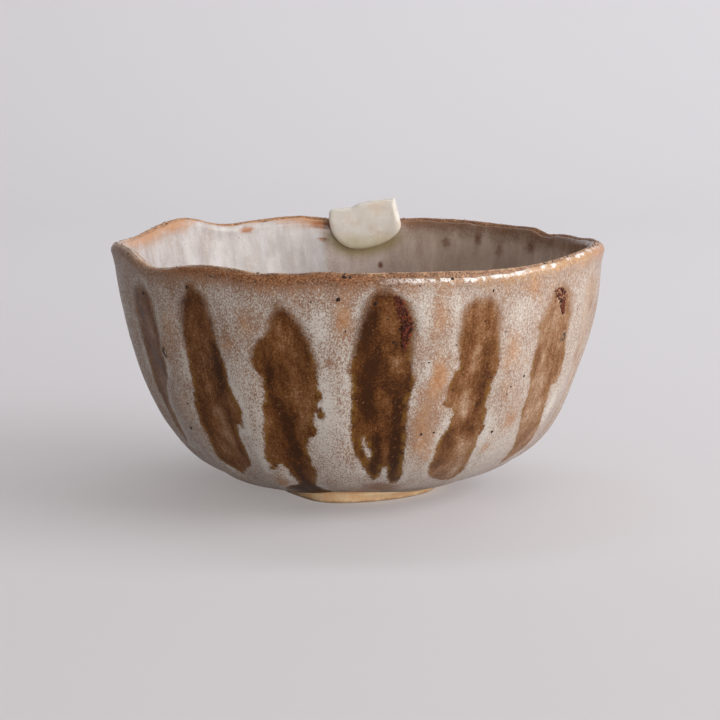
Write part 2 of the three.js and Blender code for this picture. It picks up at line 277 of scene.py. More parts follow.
# How sharply the white flecks of the outside stand out: turn, share
FROST = [
    (-180, 0.9), (-110, 0.8), (-75, 0.8), (-58, 0.8), (-42, 0.95), (-30, 1.0), (0, 1.0), (12, 0.8),
    (25, 0.68), (40, 0.6), (65, 0.55), (90, 0.7), (130, 0.9),
]
# How far the glaze is toasted below the lip, outside and inside: turn, mm along the wall
TOAST_REACH = [
    (-180, 3), (-120, 3), (-75, 0.8), (-52, 1.0), (-38, 2.6), (-30, 3.4), (-14, 2.4), (0, 2.4), (9, 2.4),
    (18, 2.6), (40, 3.2), (60, 3.2), (100, 3),
]
# The inside by turn: milkiness, blush, and 0 to 1 from the pale half to the thin brown half.
# The photo shows only the far wall of it.
INSIDE_TONES = [
    (-180, -0.1, 0, 0.65), (-171.8, 0, 0, 0.5), (-170.4, 0.9, -0.6, 0), (-138, 0.8, -0.6, 0),
    (-136, 0.45, -0.2, 0), (-95, 0.3, 0.1, 0), (-30, 0.4, -0.1, 0.1), (20, 0.1, 0, 0.4),
    (90, -0.5, 0, 1), (158, -0.4, 0, 1), (168, -0.2, 0, 0.8),
]
INSIDE_FLOOR = (0.2, 0.0, 0.35)  # what these even out to down on the floor
FLOOR_DEPTHS = (18, 42)  # mm below the lip, where they begin to and where they have
# Where the inside glaze pools, mm from the tab, below the lip and from the middle of the floor
POOL_ROUND_TAB = (0.4, 3.8)
POOL_BELOW_LIP = (3.0, 8.0)
POOL_ON_FLOOR = (24, 6)
FLOOR_POOL = 0.4  # how thick it is on the floor, where it is 1 below the tab
# Marks inside: turn, mm below the lip, half turn, half depth, change of milkiness, brown
INSIDE_MARKS = [
    (-148.5, 3, 2.2, 0.9, -0.4, 0.9), (-170, 3.0, 3, 1.1, -0.4, 0.9), (-170, 5.3, 2, 0.8, 1.2, -0.5),
    (-170.5, 6.9, 1.8, 0.6, 0, 0.8), (155, 7.5, 1.7, 2.1, 0, 0.55), (145.5, 5.5, 1.7, 2.3, 0, 0.55),
    (138, 8, 1.6, 2.6, 0, 0.45), (127, 6, 2.2, 2.4, 0, 0.55), (173.5, 14, 0.8, 1, 0, 0.9),
    (164, 5, 1.5, 3, 0, 0.25), (-133, 7, 0.7, 1.3, 0, 0.25), (112, 8, 2.4, 3, 0, 0.45),
    (133, 3.5, 3, 1.6, 0, 0.35), (119, 3, 3, 2, 0, 0.4), (150, 12, 2, 3, 0, 0.25),
]
INSIDE_TOAST_REACH = [
    (-180, 4.2), (-166, 3.8), (-160, 2.8), (-155, 1.3), (-133, 1.3), (-128, 3.8), (-103, 3.8),
    (-95, 2.0), (-60, 1.8), (0, 1.8), (60, 1.8), (80, 3.4), (92, 5.6), (118, 5.6), (132, 4.6), (150, 4),
    (160, 3.8), (170, 4),
]
# Crusts of iron: height, left turn, right turn
CRUSTS = [[
    (58.6, 8, 9.1), (57, 8.3, 10.1), (55, 8.7, 10.9), (53, 9.3, 11.9), (51.5, 9.9, 12.2),
    (50, 9.9, 11.9), (48.5, 9.9, 11.5), (47, 10.1, 11.3), (45.5, 10.3, 10.9),
], [
    (57.3, 50, 52.2), (56.3, 50.2, 54.5), (55.5, 51, 54.9), (54.2, 51.9, 54.7), (53, 52.7, 54.6),
    (51.5, 53.7, 54.7), (50.6, 54.1, 54.6),
]]
# Iron spots in the glaze: turn, height, radius mm
IRON_SPOTS = [
    (-3.9, 58, 0.5), (4, 57, 0.5), (6.7, 53, 0.35), (-14, 52.6, 0.32), (30.8, 59.5, 0.42),
    (16.3, 42, 0.28), (16.6, 23.5, 0.36), (20, 23.7, 0.3), (38, 22.3, 0.45), (43.5, 36.2, 0.34),
    (39.5, 34, 0.28), (-57.5, 56.3, 0.5), (-40.5, 59, 0.45), (-52.3, 21.3, 0.45), (-48.6, 28.3, 0.36),
    (33.2, 37, 0.38), (9.4, 50.5, 0.35), (8.2, 47.2, 0.5), (-2.6, 63.4, 0.6), (-1.4, 63.3, 0.45),
    (7.1, 61.6, 0.4), (8.8, 62.3, 0.42), (13.3, 61.4, 0.45), (20.6, 62.7, 0.5), (16.9, 61.6, 0.3),
    (24.1, 42.5, 0.2), (-9.9, 57.2, 0.22), (-2.5, 50, 0.22),
]
# Burst bubbles: turn, height, width and length mm
BURST_BUBBLES = [(-52, 41.3, 1.6, 2.8), (56.3, 44.4, 1.7, 2.5)]
# The crater of a bubble from its rim in: share of its half size, mm off the skin, how dark its shade is
# painted
CRATER = [
    (1.5, -0.3, 0), (1.3, 0.05, 0), (1.05, 0.16, 0.35), (0.9, 0.14, 0.9), (0.65, 0.05, 1), (0.35, 0.0, 0.7),
]
CRATER_FLOOR = -0.08  # mm off the skin
CRATER_ROOT = -0.5  # where its outside closes in the wall
LIP_CRUMBS = 420
CRUMB_LINE = 0.5  # mm outside the crest
CRUMB_SPREAD = 2.4  # mm to either side of that line
CRUST_CRUMBS = 300 / 13  # for each mm of a crust's height
# Grains: radius in mm from and to, power that makes the larger ones rare
CRUMB_SIZES = (0.05, 0.15, 9)
CRUST_SIZES = (0.12, 0.36, 3)
GRAIN_EXTRA = 0.2  # mm that the largest are larger by
LUMP_STRETCH = (0.75, 1.3)
LUMP_APART = 3.7  # between two lumps in the noise that shapes them, so that no two are alike

# Unevenness left by hand and fire, in layers: how far to either side, size of its lumps in mm, shift
OUTER_EDGE = [(0.3, 8.0, 3.1), (0.45, 2.1, 8.4)]
OUTER_FOOT = [(0.3, 6.0, 5.2)]
OUTER_FACE = [(0.1, 9.0, 0.0), (0.05, 3.2, 4.7)]
INNER_EDGE = [(0.35, 6.0, 11.3), (0.3, 2.0, 6.7)]
INNER_FACE = [(0.1, 8.0, 2.2), (0.04, 3.0, 6.1)]
LIP_FACE = [(0.1, 2.2, 1.3), (0.07, 0.9, 7.7)]
FOOT_FACE = [(0.16, 6.0, 0.0), (0.08, 1.8, 3.0)]
TAB_FACE = [(0.12, 5.0, 0.0), (0.03, 1.6, 2.0)]
CRATER_RIM = [(0.45, 0.9, 5.3)]
LUMP_FACE = [(0.55, 0.8, 0.0)]
TONE_WANDER = [(1.2, 4.0, 2.9)]  # of the tones inside, degrees


def paint(red, green, blue):
    """A colour given as it looks, 0 to 255, in the linear values that a shader takes."""
    shares = [value / 255 for value in (red, green, blue)]
    return tuple(s / 12.92 if s <= 0.04045 else ((s + 0.055) / 1.055) ** 2.4 for s in shares) + (1.0,)


def eased(values, low, high):
    """0 at low, 1 at high, with soft ends."""
    share = np.clip((np.asarray(values, float) - low) / (high - low), 0, 1)
    return share * share * (3 - 2 * share)


def turned_from(turns, middle):
    """Degrees from one turn to others, the short way round."""
    return (turns - middle + 180) % 360 - 180


def waver(points, size, shift):
    """Smooth unevenness of about -1 to 1 at points in mm, with lumps of that size."""
    flat = (np.asarray(points).reshape(-1, 3) / size + shift).tolist()
    return np.array([noise.noise(p) for p in flat]).reshape(np.asarray(points).shape[:-1])


def uneven(points, layers):
    """Layers of unevenness added up at points in mm."""
    return sum(depth * waver(points, size, shift) for depth, size, shift in layers)


def spline(knots, values, at, period=0.0):
    """Cubic spline through rows of values at knots, read at other places; with a period its ends join."""
    if period:
        shared = 8  # knots repeated past each end
        knots = np.concatenate([knots[-shared:] - period, knots, knots[:shared] + period])
        values = np.concatenate([values[-shared:], values, values[:shared]])
    gaps = np.diff(knots)
    slopes = np.diff(values, axis=0) / gaps[:, None]
    system = np.eye(len(knots))
    rates = np.zeros_like(values)
    for i in range(1, len(knots) - 1):
        system[i, i - 1:i + 2] = gaps[i - 1], 2 * (gaps[i - 1] + gaps[i]), gaps[i]
        rates[i] = 6 * (slopes[i] - slopes[i - 1])
    bends = np.linalg.solve(system, rates)
    i = np.clip(np.searchsorted(knots, at) - 1, 0, len(gaps) - 1)
    gap = gaps[i][:, None]
    on = (at - knots[i])[:, None]
    left = gap - on
    bent = (bends[i] * left ** 3 + bends[i + 1] * on ** 3) / (6 * gap)
    before = (values[i] / gap - bends[i] * gap / 6) * left
    after = (values[i + 1] / gap - bends[i + 1] * gap / 6) * on
    return bent + before + after


# The frame's turned nodes, read back as profiles
foot_low, foot_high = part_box("foot_ring")
AXIS = (foot_low + foot_high) / 2
HEART = 50.0  # height in mm of a point on the axis from which every station of the wall is seen apart
STATION_GAP = 2  # degrees between two stations seen from there, at least


def turned_rows(node):
    """Vertices of a turned node as columns of turn, radius and height in degrees and mm."""
    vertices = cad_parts[node].data.vertices
    places = np.empty(len(vertices) * 3)
    vertices.foreach_get("co", places)
    places = (places.reshape(-1, 3) - (AXIS.x, AXIS.y, 0)) / MM
    turn = np.degrees(np.arctan2(places[:, 0], -places[:, 1])) % 360
    return np.column_stack([turn.round(1) % 360, np.hypot(places[:, 0], places[:, 1]), places[:, 2]])


def node_columns(node):
    """Turns of a turned node's columns and the radius and height rows of each, leaving out the axis."""
    rows = turned_rows(node)
    rows = rows[rows[:, 1] > 1]
    turns = np.unique(rows[:, 0])
    return turns, [rows[rows[:, 0] == turn, 1:] for turn in turns]


def coat_face(node, far):
    """The face of a coat far from the heart of the bowl, or near it, from the middle out and up."""
    turns, columns = node_columns(node)
    faces = []
    for rows in columns:
        swing = np.degrees(np.arctan2(rows[:, 0], HEART - rows[:, 1]))
        reach = np.hypot(rows[:, 0], rows[:, 1] - HEART) * (1 if far else -1)
        order = np.argsort(swing)
        stops = np.split(order, np.flatnonzero(np.diff(swing[order]) > STATION_GAP) + 1)
        faces.append([rows[stop[np.argmax(reach[stop])]] for stop in stops])
    return turns, np.array(faces)


def carried_on(face, length):
    """One more station above the top of a face, straight on."""
    rise = face[:, -1] - face[:, -2]
    return face[:, -1] + rise / np.linalg.norm(rise, axis=1)[:, None] * length


def bowl_profile():
    """Stations of the skin in each column: up the outside, over the lip, down the inside to the middle."""
    turns, outside = coat_face("outer_glaze", far=True)
    _, inside = coat_face("inner_glaze", far=False)
    _, clay = node_columns("clay_body")
    crest = np.array([rows[np.argmax(rows[:, 1])] for rows in clay])
    brows = [carried_on(face, BROW)[:, None] for face in (outside, inside)]
    floor = np.array([[[0, inside[:, 0, 1].min()]]] * len(turns))
    skin = np.concatenate([outside, brows[0], crest[:, None], brows[1], inside[:, ::-1], floor], axis=1)
    return turns, skin, outside.shape[1] + 1


profile_turns, profile, crest_station = bowl_profile()
stations = np.concatenate([[0], np.cumsum(np.linalg.norm(np.diff(profile, axis=1), axis=2).mean(0))])
CREST = stations[crest_station]
END = stations[-1]
TURNS = np.arange(COLUMNS) * 360 / COLUMNS
CIRCLE = np.stack([np.sin(np.radians(TURNS)), -np.cos(np.radians(TURNS))], axis=1)
skin_rows = np.arange(0, END, SKIN_STEP)


def round_turns(table):
    """A table of turns and values read at every column of the bowl, as a smooth line round it."""
    turns, values = np.array(table, float).T
    return spline(turns, values[:, None], turned_from(TURNS, 0), period=360.0)[:, 0]


def drawn_skin():
    """Points and outward normals, in mm about the axis, of the finely drawn skin."""
    columns = profile.reshape(len(profile_turns), -1)
    fine = spline(profile_turns, columns, TURNS, period=360.0).reshape(COLUMNS, -1, 2)
    fine[..., 1] += round_turns(LIP_TRIM)[:, None] * eased(fine[..., 1], *TRIM_HEIGHTS)
    outside = fine[:, :crest_station, 1]
    sag, faded = [round_turns([(row[0], row[k]) for row in FOOT_SAG])[:, None] for k in (1, 2)]
    outside += sag * (1 - eased(outside, SAG_FULL, faded))
    by_station = fine.transpose(1, 0, 2).reshape(len(stations), -1)
    drawn = spline(stations, by_station, skin_rows).reshape(len(skin_rows), COLUMNS, 2)
    radius, height = drawn[..., 0], drawn[..., 1]
    points = np.concatenate([CIRCLE * radius[..., None], height[..., None]], axis=2)
    along = np.gradient(points, axis=0)
    across = np.roll(points, -1, axis=1) - np.roll(points, 1, axis=1)
    normals = np.cross(across, along)
    return points, normals / np.maximum(np.linalg.norm(normals, axis=2), 1e-9)[..., None]


SKIN, SKIN_NORMALS = drawn_skin()
WALL_HEIGHTS = SKIN[:int(CREST / SKIN_STEP), :, 2].mean(1)
WALL_ROWS = skin_rows[:len(WALL_HEIGHTS)]


def skin_at(turn, along):
    """Points and normals of the skin, in mm about the axis, at turns and distances along it."""
    turn, along = np.broadcast_arrays(np.asarray(turn, float), np.asarray(along, float))
    column = turn % 360 / 360 * COLUMNS
    row = np.clip(along / SKIN_STEP, 0, len(SKIN) - 1.001)
    c, r = column.astype(int), row.astype(int)
    u, v = (column - c)[..., None], (row - r)[..., None]
    c, after = c % COLUMNS, (c + 1) % COLUMNS
    found = []
    for grid in (SKIN, SKIN_NORMALS):
        low = grid[r, c] * (1 - u) + grid[r, after] * u
        high = grid[r + 1, c] * (1 - u) + grid[r + 1, after] * u
        found.append(low * (1 - v) + high * v)
    return found


def on_skin(along, lift):
    """Points in mm about the axis at distances along the skin, lifted off it; both are (rows, columns)."""
    along, lift = np.broadcast_arrays(np.asarray(along, float), np.asarray(lift, float))
    point, normal = skin_at(TURNS, along)
    return point + normal * lift[..., None]


def up_the_wall(height):
    """Distance along the skin from the foot to a height in mm on the outside."""
    return np.interp(height, WALL_HEIGHTS, WALL_ROWS)


def height_at(along):
    """Height in mm on the outside at distances along the skin from the foot."""
    return np.interp(along, WALL_ROWS, WALL_HEIGHTS)


def sideways(turn):
    """The level direction round the bowl at a turn."""
    return np.array([math.cos(math.radians(turn)), math.sin(math.radians(turn)), 0])


# Pieces
def to_frame(points):
    """From mm about the axis to the frame's metres."""
    return np.asarray(points) * MM + (AXIS.x, AXIS.y, 0)


def wrapped_mesh(name, rows, loop=False):
    """A mesh of rows round a middle. A row of one point is a pole; in a loop the last row joins the first."""
    starts = np.cumsum([0] + [len(row) for row in rows])
    faces, spread = [], []
    for low in range(len(rows) if loop else len(rows) - 1):
        high = (low + 1) % len(rows)
        a = starts[low] + np.arange(len(rows[low]))
        b = starts[high] + np.arange(len(rows[high]))
        count = max(len(a), len(b))
        if len(a) == 1:
            corners, sides, ends = [np.full(count, a[0]), np.roll(b, -1), b], (0.5, 1, 0), (0, 1, 1)
        elif len(b) == 1:
            corners, sides, ends = [a, np.roll(a, -1), np.full(count, b[0])], (0, 1, 0.5), (0, 0, 1)
        else:
            corners, sides, ends = [a, np.roll(a, -1), np.roll(b, -1), b], (0, 1, 1, 0), (0, 0, 1, 1)
        faces += np.stack(corners, axis=1).tolist()
        across = (np.arange(count)[:, None] + np.array(sides)) / count
        up = np.broadcast_to((low + np.array(ends)) / len(rows), across.shape)
        spread.append(np.stack([across, up], axis=2).reshape(-1, 2))
    mesh = bpy.data.meshes.new(name)
    mesh.from_pydata(to_frame(np.concatenate(rows)).tolist(), [], faces)
    flat = np.concatenate(spread).astype(np.float32)
    mesh.uv_layers.new(name="OFBake").data.foreach_set("uv", flat.ravel())
    mesh.shade_smooth()
    return mesh


def give(mesh, name, values):
    """Writes one number or vector for each vertex, for the materials to read."""
    values = np.asarray(values, np.float32)
    kind, field = ("FLOAT", "value") if values.ndim == 1 else ("FLOAT_VECTOR", "vector")
    mesh.attributes.new(name, kind, "POINT").data.foreach_set(field, values.ravel())


def in_scene(name, data):
    """A new object in the scene."""
    thing = bpy.data.objects.new(name, data)
    bpy.context.scene.collection.objects.link(thing)
    return thing


def piece(mesh, material, slot, *nodes):
    """A finished piece on the bowl, standing for the CAD nodes named."""
    part = in_scene(mesh.name, mesh)
    mesh.materials.append(material)
    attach(part, "root")
    if nodes:
        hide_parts(*nodes)
    return part


def unrolled(along, closed=False):
    """The wall laid out straight, in mm and with no seam: a cylinder as high as the distance along the skin.

    Closed, it narrows to a point where the skin ends in the middle of the floor.
    """
    radius = 50.0
    along = np.broadcast_to(along, (len(along), COLUMNS))
    reach = radius * np.tanh((END - along) / radius) if closed else np.full(along.shape, radius)
    return np.concatenate([CIRCLE * reach[..., None], along[..., None]], axis=2)


def uneven_round(along, layers):
    """Unevenness round the bowl on one level of the wall."""
    return uneven(unrolled(np.full((1, 1), along)), layers)[0]


def in_band(band, offset, along, radius):
    """Distance in mm inside the edge of a painted band, below 0 outside it."""
    heights, left, right = np.array(band[::-1], float).T
    rows = up_the_wall(heights)
    sides = np.minimum(offset - np.interp(along, rows, left), np.interp(along, rows, right) - offset)
    ends = np.minimum(rows[-1] - along, along - rows[0])
    return np.minimum(np.radians(sides) * radius, ends + BAND_END)


def streak(line, offset, height):
    """Change of a stroke's weight along one slanting line of it."""
    top, at_top, bottom, at_bottom, half, change = line
    share = (top - height) / (top - bottom)
    middle = at_top + np.clip(share, 0, 1) * (at_bottom - at_top)
    ends = eased(share, *STREAK_ENDS) * eased(1 - share, *STREAK_ENDS)
    return change * np.exp(-((offset - middle) / half) ** 2) * ends


def painted_strokes(along, radius):
    """For each vertex of the wall: mm inside the nearest stroke, or below 0, and the weight of its colour."""
    height = height_at(along)
    far_out = -6.0
    inside = np.full(along.shape, far_out)
    weight = np.zeros(along.shape)
    for flute, (shape, heavy, way) in enumerate(STROKES):
        offset = turned_from(TURNS, FLUTE_TURN + flute * 360 / FLUTES) * way
        own = np.abs(offset) <= 180 / FLUTES
        near = np.abs(offset) < 360 / FLUTES
        spot = offset[near], along[:, near], radius[:, near]
        drawn = np.max([in_band(band, *spot) for band in STROKE_BANDS[shape]], axis=0)
        if shape in STROKE_SLITS:
            drawn = np.minimum(drawn, -in_band(STROKE_SLITS[shape], *spot))
        inside[:, near] = np.maximum(inside[:, near], drawn)
        gathers = sum(streak(line, offset[own], height[:, own]) for line in STROKE_STREAKS[shape])
        weight[:, own] = heavy + gathers
    return inside, weight


def soft_spots(table, turns, levels):
    """Two changes of tone, each added up over a table of soft spots on the wall."""
    changes = np.zeros((2, *levels.shape))
    for turn, level, half_turn, half_level, *change in table:
        offset = turned_from(turns, turn)
        spot = np.exp(-(offset / half_turn) ** 2 - ((levels - level) / half_level) ** 2)
        for total, share in zip(changes, change):
            total += share * spot
    return changes


def by_turn(table, turns=TURNS):
    """A table of turns and values read at turns round the bowl, straight between its rows."""
    rows = np.array(table, float)
    return [np.interp(turns, rows[:, 0], column, period=360) for column in rows[:, 1:].T]


def edge_round(edge, lift, reach):
    """Rows round an edge of a coat, from its face to its back: distances along the skin, lifts off it."""
    out, down = np.array(EDGE_ROUND).T[..., None]
    return edge + reach * out, lift + down


def outer_coat(material):
    """The outside glaze: flutes from the skin, a rolled upper edge, a bead at the foot and soft ripples."""
    top = CREST - LIP_ROUND - round_turns(BARE_OUTSIDE) - uneven_round(CREST, OUTER_EDGE)
    bottom = OUTER_START + uneven_round(0.0, OUTER_FOOT)
    along = bottom + np.linspace(0, 1, OUTER_ROWS)[:, None] * (top - bottom)
    lift = uneven(unrolled(along), OUTER_FACE)
    lift += EDGE_ROLL * (1 - eased(top - along, *ROLL_FADE))
    lift += FOOT_BEAD * (1 - eased(along - bottom, *BEAD_FADE))
    behind = bottom + np.linspace(1, 0, BACK_ROWS)[:, None] * (top - bottom)
    upper, upper_lift = edge_round(top, lift[-1], 1)
    lower, lower_lift = edge_round(bottom, lift[0], -FOOT_TUCK)
    along = np.concatenate([along, upper, behind, lower[::-1]])
    lift = np.concatenate([lift, upper_lift, np.full(behind.shape, COAT_BACK), lower_lift[::-1]])
    points = on_skin(along, lift)
    mesh = wrapped_mesh("outer_glaze_coat", list(points), loop=True)
    give(mesh, "unrolled", unrolled(along).reshape(-1, 3))
    inside, weight = painted_strokes(along, np.hypot(points[..., 0], points[..., 1]))
    milk, blush = soft_spots(GLAZE_CLOUDS_AND_PAINTED_LIGHT, TURNS, height_at(along))
    pepper, white = by_turn(EDGE_LOOKS)
    looks = {
        "below_lip": CREST - along, "below_edge": top - along, "stroke": inside, "stroke_weight": weight,
        "milk": milk, "blush": blush, "pepper": pepper, "edge_highlight": white,
        "toast_reach": round_turns(TOAST_REACH), "frost": round_turns(FROST),
    }
    for name, values in looks.items():
        give(mesh, name, np.broadcast_to(values, along.shape).ravel())
    return piece(mesh, material, "outer_glaze", "outer_glaze")


def inner_coat(material):
    """The inside glaze, from its edge under the lip down across the floor."""
    top = CREST + LIP_ROUND + round_turns(BARE_INSIDE) + uneven_round(CREST, INNER_EDGE)
    last = END - FLOOR_MIDDLE
    along = top + np.linspace(0, 1, INNER_ROWS)[:, None] * (last - top)
    lift = uneven(unrolled(along, closed=True), INNER_FACE)
    lift += EDGE_ROLL * (1 - eased(along - top, *ROLL_FADE))
    behind = top + np.linspace(1, 0, BACK_ROWS + 6)[:, None] * (last - top)
    edge, edge_lift = [rows[::-1] for rows in edge_round(top, lift[0], -1)]
    pole = SKIN[-1].mean(0)
    rows = [*on_skin(along, lift), [pole], [pole + (0, 0, COAT_BACK)], *on_skin(behind, COAT_BACK)]
    mesh = wrapped_mesh("inner_glaze_coat", rows + list(on_skin(edge, edge_lift)), loop=True)
    middle = np.array([[0, 0, END]])
    face, back, roll = [unrolled(rows, closed=True).reshape(-1, 3) for rows in (along, behind, edge)]
    places = np.concatenate([face, middle, middle, back, roll])
    give(mesh, "unrolled", places)
    give(mesh, "below_lip", places[:, 2] - CREST)
    for name, values in inside_tones(places).items():
        give(mesh, name, values)
    give(mesh, "pool", pooled([v.co for v in mesh.vertices], places))
    return piece(mesh, material, "inner_glaze", "inner_glaze")


def pooled(points, places):
    """How thick the inside glaze has gathered, 0 to 1: below the tab, and a little on the floor."""
    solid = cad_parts["rim_tab"].data
    tab = BVHTree.FromPolygons([v.co for v in solid.vertices], [face.vertices for face in solid.polygons])
    below = places[:, 2] - CREST
    near, far = 18.0, 99.0
    away = [tab.find_nearest(point)[3] / MM if depth < near and place[1] > 0 else far
            for point, place, depth in zip(points, places, below)]
    floor = FLOOR_POOL * eased(END - places[:, 2], *POOL_ON_FLOOR)
    return (1 - eased(away, *POOL_ROUND_TAB)) * eased(below, *POOL_BELOW_LIP) + floor


def inside_tones(places):
    """Milkiness, blush, brown half, brown marks and reach of the toasting at each vertex of the inside."""
    turns = np.degrees(np.arctan2(places[:, 0], -places[:, 1]))
    below = places[:, 2] - CREST
    tones = by_turn(INSIDE_TONES, turns + uneven(places, TONE_WANDER))
    deep = eased(below, *FLOOR_DEPTHS)
    milk, blush, brown = [tone + (evened - tone) * deep for tone, evened in zip(tones, INSIDE_FLOOR)]
    whiter, marks = soft_spots(INSIDE_MARKS, turns, below)
    (reach,) = by_turn(INSIDE_TOAST_REACH, turns)
    return {"milk": milk + whiter, "blush": blush, "brown_half": brown, "marks": marks, "toast_reach": reach}


def flat_ring(radius, height):
    """A level row of points round the axis."""
    return np.column_stack([CIRCLE * np.asarray(radius)[..., None], np.full(COLUMNS, height)])


def foot_hollow():
    """Radius in mm of the hollow inside the foot ring."""
    return turned_rows("foot_ring")[:, 1].min()


def clay_body(material):
    """The clay under both coats: only its lip and the hollow inside the foot ring are seen."""
    _, columns = node_columns("clay_body")
    seat = min(rows[:, 1].min() for rows in columns)
    hollow = foot_hollow()
    ceiling = np.mean([rows[rows[:, 0] < hollow - 0.5, 1].min() for rows in columns])
    fine = CREST + np.linspace(-LIP_FINE, LIP_FINE, 56)
    below, within = np.linspace(3, fine[0] - 0.5, 14), np.linspace(fine[-1] + 0.5, END - 1, 18)
    along = np.concatenate([below, fine, within])[:, None]
    away = np.abs(along - CREST)
    bumps = uneven(unrolled(along), LIP_FACE) * (1 - eased(away, *LIP_FADE))
    lift = CLAY_UNDER * eased(away, *LIP_SINK) + bumps
    rows = list(on_skin(along, lift))
    under = [flat_ring(hollow * 0.5, ceiling), flat_ring(hollow - 0.8, ceiling), flat_ring(hollow, seat),
             flat_ring(foot_high.x / MM - 1.5, seat)]
    floor = rows[-1][:, 2].mean()
    mesh = wrapped_mesh("clay_body_and_lip", [[(0, 0, ceiling)], *under, *rows, [(0, 0, floor)]])
    hidden = np.zeros(1 + len(under) * COLUMNS)
    give(mesh, "below_lip", np.concatenate([hidden + CREST, np.repeat(away, COLUMNS), [CREST]]))
    for name, values in zip(("lip_pale", "lip_tan"), by_turn(LIP_TONES)):
        give(mesh, name, np.concatenate([hidden, np.tile(values, len(along)), [0]]))
    return piece(mesh, material, "bare_clay", "clay_body")


def foot_ring(material):
    """The unglazed ring: pared by hand to an uneven round, with worn edges, flat underneath."""
    hollow, outer, top = foot_hollow(), (foot_high.x - foot_low.x) / 2 / MM, foot_high.z / MM
    edge = round_turns(FOOTPRINT) + FOOT_FLARE
    worn = FOOT_WORN
    corner = [(worn * (1 - math.cos(a)), worn * (1 - math.sin(a))) for a in np.radians([90, 67, 45, 22, 0])]
    outside = [(edge - inset, height) for inset, height in corner]
    outside += [(edge + (outer - edge) * share, worn + (top - worn) * share) for share in (0.3, 0.65, 1.0)]
    inside = [(np.full(COLUMNS, hollow), top), (np.full(COLUMNS, hollow), worn)]
    inside += [(np.full(COLUMNS, hollow + inset), height) for inset, height in corner[::-1]]
    rows = []
    for radius, height in outside + inside:
        ring = flat_ring(radius, height)
        push = uneven(ring, FOOT_FACE) * float(eased(height, 0.0, 0.5))
        rows.append(flat_ring(radius + push, height))
    return piece(wrapped_mesh("foot_ring_bare", rows, loop=True), material, "foot_clay", "foot_ring")


def porcelain_tab(material):
    """The tab's solid with its edges softened and its faces a little uneven, as pressed by hand."""
    draft = in_scene("tab_draft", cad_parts["rim_tab"].data.copy())
    remesh = draft.modifiers.new("close", "REMESH")
    remesh.mode = "VOXEL"
    remesh.voxel_size = TAB_VOXEL * MM
    soften = draft.modifiers.new("soften", "SMOOTH")
    soften.iterations = TAB_SOFTENING
    bpy.context.view_layer.update()
    mesh = bpy.data.meshes.new_from_object(draft.evaluated_get(bpy.context.evaluated_depsgraph_get()))
    bpy.data.objects.remove(draft)
    mesh.name = "porcelain_tab"
    places = np.array([v.co for v in mesh.vertices])
    normals = np.array([v.normal for v in mesh.vertices])
    pressed = uneven(places / MM, TAB_FACE)
    low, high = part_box("rim_tab")
    across = (places[:, 0] - low.x) / (high.x - low.x)
    up = (places[:, 2] - low.z) / MM
    over = up - TAB_SADDLE
    seat = (1 - eased(np.abs(over), *TAB_SEAT)) * eased(-normals[:, 2], 0.3, 0.7)
    raised = np.interp(across, *np.array(TAB_EDGE, float).T) * eased(over, *TAB_RAISE)
    places[:, 2] += (raised - TAB_SETTLE * seat) * MM
    places[:, 0] -= TAB_CORNER * eased(across, 0.8, 1.0) * eased(up, *TAB_LEAN) * MM
    mesh.vertices.foreach_set("co", (places + normals * pressed[:, None] * MM).ravel())
    mesh.shade_smooth()
    mesh.materials.clear()
    return piece(mesh, material, "porcelain", "rim_tab")


def lumps(name, turns, along, radii, squash, seed):
    """Small uneven lumps half sunk in the skin, as one mesh."""
    ball = bmesh.new()
    bmesh.ops.create_icosphere(ball, subdivisions=1, radius=1)
    shape = np.array([v.co[:] for v in ball.verts])
    corners = np.array([[v.index for v in face.verts] for face in ball.faces])
    ball.free()
    chance = np.random.default_rng(seed)
    places, normals = skin_at(turns, along)
    points, faces = [], []
    for i, (turn, radius) in enumerate(zip(turns, radii)):
        side = sideways(turn)
        down = np.cross(normals[i], side)
        stretch = chance.uniform(*LUMP_STRETCH, 2)
        own = shape * (1 + uneven(shape + LUMP_APART * i, LUMP_FACE))[:, None] * radius
        points.append(places[i] + own[:, :1] * side * stretch[0] + own[:, 1:2] * down * stretch[1]
                      + own[:, 2:] * normals[i] * squash)
        faces += (corners + i * len(shape)).tolist()
    mesh = bpy.data.meshes.new(name)
    mesh.from_pydata(to_frame(np.concatenate(points)).tolist(), [], faces)
    mesh.shade_smooth()
    give(mesh, "grain_tone", np.repeat(chance.random(len(radii)), len(shape)))
    return mesh


def grain_sizes(chance, count, low, high, rare):
    """Radii in mm of scattered grains."""
    return chance.uniform(low, high, count) + GRAIN_EXTRA * chance.random(count) ** rare


def lip_crumbs(material):
    """Dark grains baked into the bare lip."""
    chance = np.random.default_rng(7)
    turns = chance.uniform(0, 360, LIP_CRUMBS)
    along = CREST + CRUMB_SPREAD * chance.uniform(-1, 1, LIP_CRUMBS) ** 3 - CRUMB_LINE
    radii = grain_sizes(chance, LIP_CRUMBS, *CRUMB_SIZES)
    mesh = lumps("lip_crumbs", turns, along, radii, squash=0.4, seed=8)
    return piece(mesh, material, "bare_clay")


def iron_spots(material):
    """Spots of iron melted almost level with the outside glaze."""
    turns, heights, radii = np.array(IRON_SPOTS, float).T
    mesh = lumps("iron_spots", turns, up_the_wall(heights), radii, squash=0.45, seed=5)
    return piece(mesh, material, "outer_glaze")


def iron_crusts(material):
    """Crusts of dark red grains at the top of two strokes."""
    chance = np.random.default_rng(21)
    turns, along = [], []
    for band in CRUSTS:
        heights, left, right = np.array(band[::-1], float).T
        tall = heights[-1] - heights[0]
        level = heights[0] + chance.random(int(CRUST_CRUMBS * tall)) * tall
        low, high = np.interp(level, heights, left), np.interp(level, heights, right)
        turns += (low + chance.random(len(level)) * (high - low)).tolist()
        along += up_the_wall(level).tolist()
    radii = grain_sizes(chance, len(turns), *CRUST_SIZES)
    mesh = lumps("iron_crusts", np.array(turns), np.array(along), radii, squash=0.6, seed=3)
    return piece(mesh, material, "outer_glaze")


